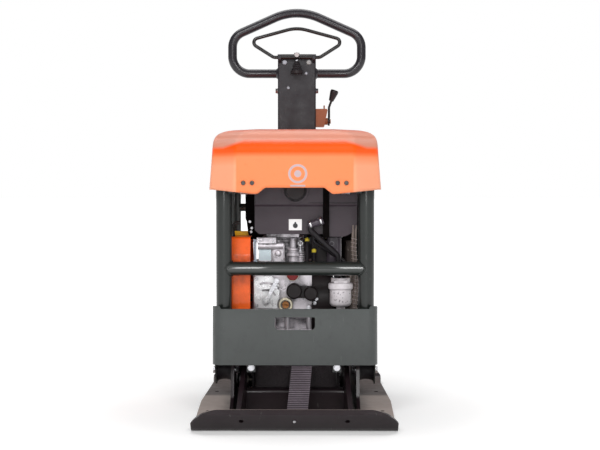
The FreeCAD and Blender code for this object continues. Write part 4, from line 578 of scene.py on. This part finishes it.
class Shape:
    """Points and faces collected for one piece, in metres."""

    def __init__(self):
        self.points = []
        self.faces = []

    def skin(self, rings, closed=False):
        """A skin over rings of equally many points, with flat ends unless the rings close on themselves."""
        first, count = len(self.points), len(rings[0])
        for ring_points in rings:
            self.points += [tuple(p) for p in ring_points]
        for i in range(len(rings) if closed else len(rings) - 1):
            here, there = first + i * count, first + (i + 1) % len(rings) * count
            for k in range(count):
                n = (k + 1) % count
                self.faces.append((here + k, here + n, there + n, there + k))
        if not closed:
            last = first + (len(rings) - 1) * count
            self.faces.append(tuple(range(first, first + count)))
            self.faces.append(tuple(range(last, last + count)))
        return self

    def turned(self, origin, direction, profile, sides=24):
        """A turned shape from (distance along the axis, radius) pairs."""
        along = Vector(direction).normalized()
        across = along.orthogonal().normalized()
        other = along.cross(across)
        turns = [2 * math.pi * k / sides for k in range(sides)]
        spokes = [across * math.cos(a) + other * math.sin(a) for a in turns]
        return self.skin([[Vector(origin) + along * d + spoke * r for spoke in spokes] for d, r in profile])

    def swept(self, path, radii, sides=10, closed=False):
        """A round section along a path, with one radius for each of its points."""
        path = [Vector(p) for p in path]
        count = len(path)
        rings = []
        across = None
        for i, place in enumerate(path):
            before = path[i - 1] if closed or i else place
            after = path[(i + 1) % count] if closed or i < count - 1 else place
            along = (after - before).normalized()
            across = along.orthogonal() if across is None else across - along * across.dot(along)
            across.normalize()
            other = along.cross(across)
            turns = [2 * math.pi * k / sides for k in range(sides)]
            rings.append([place + (across * math.cos(a) + other * math.sin(a)) * radii[i] for a in turns])
        return self.skin(rings, closed)

    def hoop(self, centre, direction, radius, thickness, sides=28):
        """A thin round ring about an axis."""
        along = Vector(direction).normalized()
        across = along.orthogonal().normalized()
        other = along.cross(across)
        turns = [2 * math.pi * i / sides for i in range(sides)]
        path = [Vector(centre) + (across * math.cos(a) + other * math.sin(a)) * radius for a in turns]
        return self.swept(path, [thickness] * sides, 8, True)

    def bolt(self, place, outward, size):
        """A washer and a hexagon head."""
        self.turned(place, outward, [(0, 1.05 * size), (0.16 * size, 1.05 * size)], 20)
        head = [(0.16 * size, 0.9 * size), (0.68 * size, 0.9 * size), (0.8 * size, 0.78 * size)]
        return self.turned(place, outward, head, 6)

    def piece(self, name, surface, bevel=0.0, smooth_below=40.0):
        """The mesh object. Edges sharper than the angle stay sharp."""
        mesh = bpy.data.meshes.new(name)
        mesh.from_pydata(self.points, [], self.faces)
        work = bmesh.new()
        work.from_mesh(mesh)
        bmesh.ops.recalc_face_normals(work, faces=work.faces)
        if bevel:
            sharp = [e for e in work.edges if e.is_manifold and e.calc_face_angle() > 0.6]
            bmesh.ops.bevel(work, geom=sharp, offset=bevel, segments=2, affect="EDGES", profile=0.7)
        for face in work.faces:
            face.smooth = True
        for edge in work.edges:
            edge.smooth = edge.is_manifold and edge.calc_face_angle() < math.radians(smooth_below)
        work.to_mesh(mesh)
        work.free()
        mesh.materials.append(surface.material)
        made = bpy.data.objects.new(name, mesh)
        bpy.context.scene.collection.objects.link(made)
        return made


def box_ring(low, high, z):
    return [(low[0], low[1], z), (high[0], low[1], z), (high[0], high[1], z), (low[0], high[1], z)]


def block(shape, low, high):
    """A rectangular block from its low corner to its high corner."""
    return shape.skin([box_ring(low, high, low[2]), box_ring(low, high, high[2])])


FRONT, UP = (0, -1, 0), (0, 0, 1)

# ------------------------------------------------------------------ pieces that replace soft CAD nodes


def strap_piece():
    """Ribs across the strap, on a plain back."""
    across = Vector((1, 0, 0))
    out = across.cross(strap_along).normalized()
    rib_profile = ((0.0, 0.0028), (0.08, 0.0046), (0.3, 0.005), (0.52, 0.0046), (0.62, 0.0028))
    rings = []
    for i in range(int((STRAP_END - STRAP_START).length / STRAP_PITCH)):
        for share, depth in rib_profile:
            place = STRAP_START + strap_along * ((i + share) * STRAP_PITCH)
            left, right = place - across * STRAP_HALF, place + across * STRAP_HALF
            rings.append([left, right, right + out * depth, left + out * depth])
    return Shape().skin(rings).piece("strap_ribs", strap_rubber)


strap = strap_piece()
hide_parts("limit_strap")
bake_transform(strap)

# Buffers: waisted rubber between two discs, as (distance along the axis, radius)
BUFFER_PROFILE = [
    (0.0, 0.034), (0.0022, 0.034), (0.0026, 0.0325), (0.007, 0.0305), (0.014, 0.0288), (0.022, 0.0282),
    (0.030, 0.0288), (0.037, 0.0305), (0.0414, 0.0325), (0.0418, 0.034), (0.044, 0.034)]
buffer_length, buffer_radius = BUFFER_PROFILE[-1]
buffer_end = corners("shock_buffers")[1] - Vector((0, buffer_radius, buffer_radius))
for side in (-1, 1):
    for row, along in (("front", -1), ("rear", 1)):
        y, z = along * buffer_end.y, buffer_end.z
        start, end = side * (buffer_end.x - buffer_length), side * buffer_end.x
        buffer = Shape().turned((start, y, z), (side, 0, 0), BUFFER_PROFILE, 36)
        buffer = buffer.piece(f"buffer_{row}_{'left' if side < 0 else 'right'}", black_rubber)
        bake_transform(buffer)
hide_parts("shock_buffers")


def wheel(node):
    """Centre, in the belt's plane, and radius of a wheel that turns about x."""
    low, high = corners(node)
    radius = (high.y - low.y) / 2
    return Vector((middle("drive_belt").x, low.y + radius, high.z - radius)), radius


def belt_piece():
    """A cogged V belt round the exciter pulley and the clutch drum: an arc, a run, an arc and a run."""
    depth = 0.0055  # from the pitch line out to the back, and in to the tip of a cog
    notch, step, slope = 0.0035, 0.0035, 0.3057
    (low, r_low), (high, r_high) = wheel("exciter_pulley"), wheel("clutch_drum")
    r_low, r_high = r_low - depth, r_high - depth
    line = high - low
    heading = math.atan2(line.z, line.y)
    lean = math.acos((r_low - r_high) / line.length)

    def on(centre, radius, angle):
        return centre + Vector((0, math.cos(angle), math.sin(angle))) * radius

    stations = []
    for centre, radius, first, last in ((low, r_low, heading + lean, heading + 2 * math.pi - lean),
                                        (high, r_high, heading - lean, heading + lean)):
        steps = int(radius * (last - first) / step)
        for i in range(steps + 1):
            angle = first + (last - first) * i / steps
            stations.append((on(centre, radius, angle), on(Vector(), 1.0, angle)))
        if centre is low:
            end, start = on(low, r_low, heading - lean), on(high, r_high, heading - lean)
        else:
            end, start = on(high, r_high, heading + lean), on(low, r_low, heading + lean)
        steps = int((start - end).length / step)
        outward = stations[-1][1]
        for i in range(1, steps):
            stations.append((end.lerp(start, i / steps), outward))
    rings = []
    across, half_out = Vector((1, 0, 0)), 0.0084
    for i, (place, outward) in enumerate(stations):
        inner = depth if i % 4 < 2 else notch
        half_in = half_out - (depth + inner) * slope
        back, front = place + outward * depth, place - outward * inner
        rings.append([back + across * half_out, back - across * half_out,
                      front - across * half_in, front + across * half_in])
    return Shape().skin(rings, True).piece("cogged_belt", black_rubber)


belt = belt_piece()
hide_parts("drive_belt")
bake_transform(belt)


def boot_piece(foot):
    """Folds that close up towards the plunger's tip."""
    steps, fold_pitch, fold_depth = 48, 0.0079, 0.0016
    profile = [(0.0, 0.0105), (0.0, 0.0195)]
    for i in range(steps + 1):
        rise = 0.0005 + 0.0315 * i / steps
        envelope = 0.0200 - 0.33 * rise
        profile.append((rise, envelope - fold_depth * (1 - math.cos(2 * math.pi * rise / fold_pitch))))
    profile += [(0.0325, 0.0085), (0.033, 0.0065)]
    return Shape().turned(foot, UP, profile, 36).piece("boot_folds", black_rubber)


boot_foot = Vector((0, middle("valve_boot").y, corners("valve_boot")[0].z))
boot = boot_piece(boot_foot)
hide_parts("valve_boot")
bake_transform(boot)

# ------------------------------------------------------------------ fine pieces that the CAD leaves out


def bead(shape, path, size):
    """A rippled weld bead along a closed path."""
    radii = [size * (1 + 0.16 * math.sin(i * 1.9)) for i in range(len(path))]
    shape.swept(path, radii, 8, True)


def weld_piece():
    """Beads round the guard bar's ends and round the feet of the hoops."""
    post_radius, bar_radius, bead_lift = 0.02415, 0.0212, 0.0008
    hoop_low, hoop_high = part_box("side_hoops")
    post_x, post_y = round(hoop_high.x - post_radius, 4), round(hoop_high.y - post_radius, 3)
    foot_radius, foot_z = 0.0255, hoop_low.z + 0.0015
    bar = corners("cross_bars")[0] + Vector((0, bar_radius, bar_radius))
    welds = Shape()
    for side in (-1, 1):
        saddle = []
        for i in range(60):
            turn = 2 * math.pi * i / 60
            ahead = bar_radius * math.cos(turn) - (bar.y + post_y)
            reach = math.sqrt(max(post_radius ** 2 - ahead ** 2, 0.0))
            rise = (bar_radius + 0.0006) * math.sin(turn)
            saddle.append((side * (post_x - reach - bead_lift), -post_y - ahead, bar.z + rise))
        bead(welds, saddle, 0.0032)
        for y in (-post_y, post_y):
            turns = [2 * math.pi * i / 48 for i in range(48)]
            foot = [(side * post_x + foot_radius * math.cos(turn), y + foot_radius * math.sin(turn), foot_z)
                    for turn in turns]
            bead(welds, foot, 0.003)
    return welds.piece("weld_beads", frame_paint)


welds = weld_piece()
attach(welds, "frame")

# Bolts on the engine's front, as (node, distance behind its box's front, size, places from its low corner)
ENGINE_BOLTS = (
    ("crankcase", 0.013, 0.007, ((0.012, 0.242), (0.172, 0.248), (0.074, 0.252), (0.174, 0.126))),
    ("crankcase", 0.012, 0.005, ((0.013, 0.217), (0.013, 0.134), (0.074, 0.190))),
    ("crankcase", 0.0115, 0.0055, ((0.194, 0.141), (0.200, 0.154), (0.240, 0.096))),
    ("injection_pump", 0.006, 0.0035, ((0.006, 0.075), (0.006, 0.066), (0.052, 0.075), (0.052, 0.066))))


def bolt_piece():
    """The engine's bolts, and four on the mast bracket's plate."""
    bolts = Shape()
    for node, behind, size, places in ENGINE_BOLTS:
        for x, z in places:
            bolts.bolt(near(node, x, behind, z), FRONT, size)
    low, high = corners("mast_bracket")
    for x in (low.x + 0.035, high.x - 0.035):
        for rise in (0.031, 0.096):
            bolts.bolt((x, low.y + 0.008, low.z + rise), (0, 1, 0), 0.010)
    return bolts.piece("engine_bolts", zinc, smooth_below=30)


bolts = bolt_piece()
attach(bolts, "frame")


def on_pump(x, y, z):
    """The point that far from the low corner of the injection pump, which stands on the crankcase."""
    return near("injection_pump", x, y, z)


def pump_casting_piece():
    """The housing beside the injection pump, with its cover, its top flange and a plug."""
    casting = Shape()
    block(casting, on_pump(0.046, 0.025, -0.001), on_pump(0.086, 0.064, 0.061))
    block(casting, on_pump(0.050, 0.0205, 0.005), on_pump(0.082, 0.0255, 0.054))
    block(casting, on_pump(0.056, 0.030, 0.0605), on_pump(0.076, 0.056, 0.068))
    plug = [(0, 0.0100), (0.003, 0.0100), (0.004, 0.0080), (0.005, 0.0045)]
    casting.turned(on_pump(0.066, 0.021, 0.030), FRONT, plug)
    return casting.piece("pump_casting", aluminium, bevel=0.0028)


casting = pump_casting_piece()
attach(casting, "frame")

cover_screws = Shape()
for x in (0.0535, 0.0785):
    for z in (0.009, 0.050):
        cover_screws.bolt(on_pump(x, 0.0207, z), FRONT, 0.0026)
pump_screws = cover_screws.piece("pump_screws", zinc, smooth_below=30)
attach(pump_screws, "frame")

# Vent filter: a stack of discs
VENT_PROFILE = [
    (0.0, 0.017), (0.022, 0.017), (0.023, 0.0235), (0.031, 0.0235), (0.032, 0.018), (0.040, 0.018),
    (0.041, 0.021), (0.046, 0.021), (0.047, 0.013), (0.072, 0.012), (0.073, 0.016), (0.078, 0.015)]
vent = Shape().turned(on_pump(0.113, 0.039, -0.0005), UP, VENT_PROFILE, 32).piece("vent_filter", aluminium)
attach(vent, "frame")

# Eye bolt: a ring on a collared shank
eye = Shape().hoop(on_pump(0.1355, 0.016, 0.062), (0, 1, 0), 0.0068, 0.0024)
shank = [(0, 0.003), (0.012, 0.003), (0.0125, 0.006), (0.018, 0.006)]
eye_bolt = eye.turned(on_pump(0.1355, 0.016, 0.053), (0, 0, -1), shank, 12).piece("eye_bolt", zinc)
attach(eye_bolt, "frame")

# Sight tube on the engine's left, between two nuts
SIGHT_PROFILE = [
    (0, 0.0065), (0.008, 0.0065), (0.009, 0.0042), (0.066, 0.0042), (0.067, 0.0062), (0.074, 0.0062)]
sight = Shape().turned(on_pump(-0.006, 0.024, 0), UP, SIGHT_PROFILE, 16).piece("sight_tube", sight_plastic)
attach(sight, "frame")


def injector_pieces():
    """Two lines with a nut at the foot and a collar at the top, and their yellow caps."""
    lines, caps = Shape(), Shape()
    for x, y, reach in ((0.156, 0.030, 0.069), (0.178, 0.036, 0.034)):
        nut = [(0, 0.0092), (0.007, 0.0092), (0.0078, 0.0062)]
        collar = [(reach - 0.010, 0.0062), (reach - 0.0092, 0.0078), (reach, 0.0078)]
        lines.turned(on_pump(x, y, -0.001), UP, nut + collar, 12)
        caps.turned(on_pump(x, y, reach - 0.001), UP, [(0, 0.0072), (0.008, 0.0072), (0.011, 0.004)], 14)
    return lines.piece("injector_lines", black_rubber), caps.piece("injector_caps", cap_yellow)


injector_lines, injector_caps = injector_pieces()
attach(injector_lines, "frame")
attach(injector_caps, "frame")

# Stud in the middle of the lip, square to its slope of 50 degrees
stud_profile = [(-0.004, 0.0046), (0.0022, 0.0046), (0.0034, 0.0034)]
stud_place = (0, corners("base_plate")[0].y + 0.0186, 0.0344)
stud = Shape().turned(stud_place, (0, -0.766, -0.643), stud_profile, 20).piece("lip_stud", zinc)
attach(stud, "base")

# Corner of the tank's carrier, with three screws
CARRIER_OUTLINE = ((0.002, 0.064), (0.031, 0.064), (0.031, 0.005), (0.022, -0.001), (0.009, 0.008))
carrier = Shape().skin([[near("tank_holders", x, y, z) for x, z in CARRIER_OUTLINE] for y in (0.117, 0.120)])
carrier = carrier.piece("carrier_corner", holder_rubber, bevel=0.0008)
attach(carrier, "frame")
screws = Shape()
for x, z in ((0.014, 0.049), (0.020, 0.029), (0.018, 0.017)):
    screws.bolt(near("tank_holders", x, 0.1168, z), FRONT, 0.0042)
carrier_screws = screws.piece("carrier_screws", zinc, smooth_below=30)
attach(carrier_screws, "frame")

# Dark blocks under the tank's back edge, behind the filter bowl and behind the cylinder, that fill gaps:
# painted shade.
# Each is given as its low and its high corner, from the tank's low corner
SHADE_FILLERS = (((-0.021, 0.136, -0.013), (0.018, 0.146, 0.025)), ((0.162, 0.136, -0.006), (0.313, 0.148, 0.025)),
         ((0.246, 0.152, -0.252), (0.265, 0.156, -0.007)), ((0.267, 0.136, -0.017), (0.313, 0.147, -0.0065)),
         ((0.009, 0.262, -0.054), (0.035, 0.267, 0.021)))
filler_shape = Shape()
for filler_low, filler_high in SHADE_FILLERS:
    block(filler_shape, near("fuel_tank", *filler_low), near("fuel_tank", *filler_high))
# These near-black matt blocks are painted shade.
tank_shade_fillers = filler_shape.piece("tank_shade_fillers", holder_rubber, bevel=0.0012)
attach(tank_shade_fillers, "frame")

# Wire wrap: a coil of pale sleeving round the two wires, whose line is part.py's, as (height, x)
WIRE_LINE = ((0.204, 0.178), (0.280, 0.182), (0.340, 0.179), (0.400, 0.183), (0.460, 0.180), (0.520, 0.176),
             (0.590, 0.178))


def wrap_piece():
    wrap = Shape()
    pitch, turns, first = 0.0125, 26, 0.235
    between_wires = 0.0038
    for k in range(turns):
        z = first + k * pitch
        for (z0, x0), (z1, x1) in zip(WIRE_LINE, WIRE_LINE[1:]):
            if z0 <= z < z1:
                x = x0 + (x1 - x0) * (z - z0) / (z1 - z0)
                wrap.hoop((x + between_wires, -0.196, z), (0.25, 0, 1), 0.0082, 0.0013, 20)
    return wrap.piece("wire_wrap", sleeve_grey)


wrap = wrap_piece()
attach(wrap, "frame")

# Elbow where the feed hose leaves the tank, a collar at each end
elbow_start, elbow_end = near("fuel_tank", 0.211, 0.0065, 0.0505), near("fuel_tank", 0.165, 0.0065, 0.035)
elbow_run = (elbow_end - elbow_start).normalized()
elbow_length = (elbow_end - elbow_start).length
collar = [(0, 0.0106), (0.0015, 0.0118), (0.0040, 0.0118), (0.0055, 0.0108)]
elbow_profile = collar + [(0.5 * elbow_length, 0.0104)] + [(elbow_length - d, r) for d, r in reversed(collar)]
elbow = Shape().turned(elbow_start, elbow_run, elbow_profile, 24).piece("feed_elbow", duct_plastic)
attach(elbow, "frame")


def band_profile(inner, outer, width):
    return [(0, inner), (0, outer), (width, outer), (width, inner)]


# Clamps: two on the elbow, one on the hose in front of the intake duct
bands = Shape()
for share in (0.12, 0.80):
    place = elbow_start + elbow_run * (share * elbow_length)
    bands.turned(place, elbow_run, band_profile(0.0122, 0.0128, 0.0045), 28)
bands.turned(near("intake_duct", 0.034, -0.0515, 0), UP, band_profile(0.0093, 0.0100, 0.006), 24)
clamps = bands.piece("hose_clamps", zinc)
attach(clamps, "frame")

# ------------------------------------------------------------------ floor, light, camera

FLOOR_HALF = 60.0
floor_mesh = bpy.data.meshes.new("floor")
floor_outline = box_ring((-FLOOR_HALF, -FLOOR_HALF), (FLOOR_HALF, FLOOR_HALF), 0.0)
floor_mesh.from_pydata(floor_outline, [], [(0, 1, 2, 3)])
floor = bpy.data.objects.new("floor", floor_mesh)
bpy.context.scene.collection.objects.link(floor)


def floor_surface():
    """Pale paint that glows a little with distance from the object, so that the far floor stays white."""
    s = Surface("floor_paint", linear(244, 244, 244), 0.8, specular=0.1)
    s.tint(s.ramp(s.noise(2, 3), 0.4, 0.6), linear(248, 248, 248), 0.5)
    s.shader.inputs["Emission Color"].default_value = (1.0, 1.0, 1.0, 1.0)
    x, y = s.axis("X"), s.axis("Y")
    away = s.math("SQRT", s.math("ADD", s.math("MULTIPLY", x, x), s.math("MULTIPLY", y, y)))
    s.link(s.ramp(away, 0.55, 3.0, 0.18, 1.0), s.shader.inputs["Emission Strength"])
    return s


floor_mesh.materials.append(floor_surface().material)

# The camera sees a white backdrop, and the objects are lit by a dimmer one
world = bpy.data.worlds.new("studio")
bpy.context.scene.world = world
world.use_nodes = True
sky = world.node_tree
seen = sky.nodes["Background"]
seen.inputs["Color"].default_value = (1.0, 1.0, 1.0, 1.0)
lit = sky.nodes.new("ShaderNodeBackground")
lit.inputs["Color"].default_value = (1.0, 1.0, 1.0, 1.0)
lit.inputs["Strength"].default_value = 0.24
choose = sky.nodes.new("ShaderNodeMixShader")
sky.links.new(sky.nodes.new("ShaderNodeLightPath").outputs["Is Camera Ray"], choose.inputs["Fac"])
sky.links.new(lit.outputs["Background"], choose.inputs[1])
sky.links.new(seen.outputs["Background"], choose.inputs[2])
sky.links.new(choose.outputs["Shader"], sky.nodes["World Output"].inputs["Surface"])


def softbox(name, place, target, size, watts):
    light = bpy.data.lights.new(name, "AREA")
    light.shape = "RECTANGLE"
    light.size, light.size_y = size
    light.energy = watts
    lamp = bpy.data.objects.new(name, light)
    lamp.location = place
    lamp.rotation_euler = (Vector(target) - Vector(place)).to_track_quat("-Z", "Y").to_euler()
    bpy.context.scene.collection.objects.link(lamp)


softbox("overhead", (0.0, 0.8, 3.4), (0.0, 0.0, 0.8), (3.6, 2.4), 80)
softbox("key_left", (-1.05, -3.3, 2.7), (0.0, 0.0, 0.6), (1.0, 1.0), 40)
softbox("key_right", (1.05, -3.3, 2.7), (0.0, 0.0, 0.6), (1.0, 1.0), 34)
softbox("strip_left", (-0.30, -3.5, 1.25), (0.0, 0.0, 0.75), (0.17, 1.3), 9)
softbox("strip_right", (0.30, -3.5, 1.25), (0.0, 0.0, 0.75), (0.17, 1.3), 9)

CAMERA_PLACE = (0.0402, -4.0, 0.713)
CAMERA_PITCH = 1.852
CAMERA_YAW = 0.389
camera_data = bpy.data.cameras.new("camera")
camera_data.lens = 74.2
camera_data.sensor_width = 36.0
camera = bpy.data.objects.new("camera", camera_data)
camera.location = CAMERA_PLACE
camera.rotation_euler = (math.radians(90 - CAMERA_PITCH), 0.0, math.radians(CAMERA_YAW))
bpy.context.scene.collection.objects.link(camera)
bpy.context.scene.camera = camera
bpy.context.scene.view_settings.view_transform = "Standard"
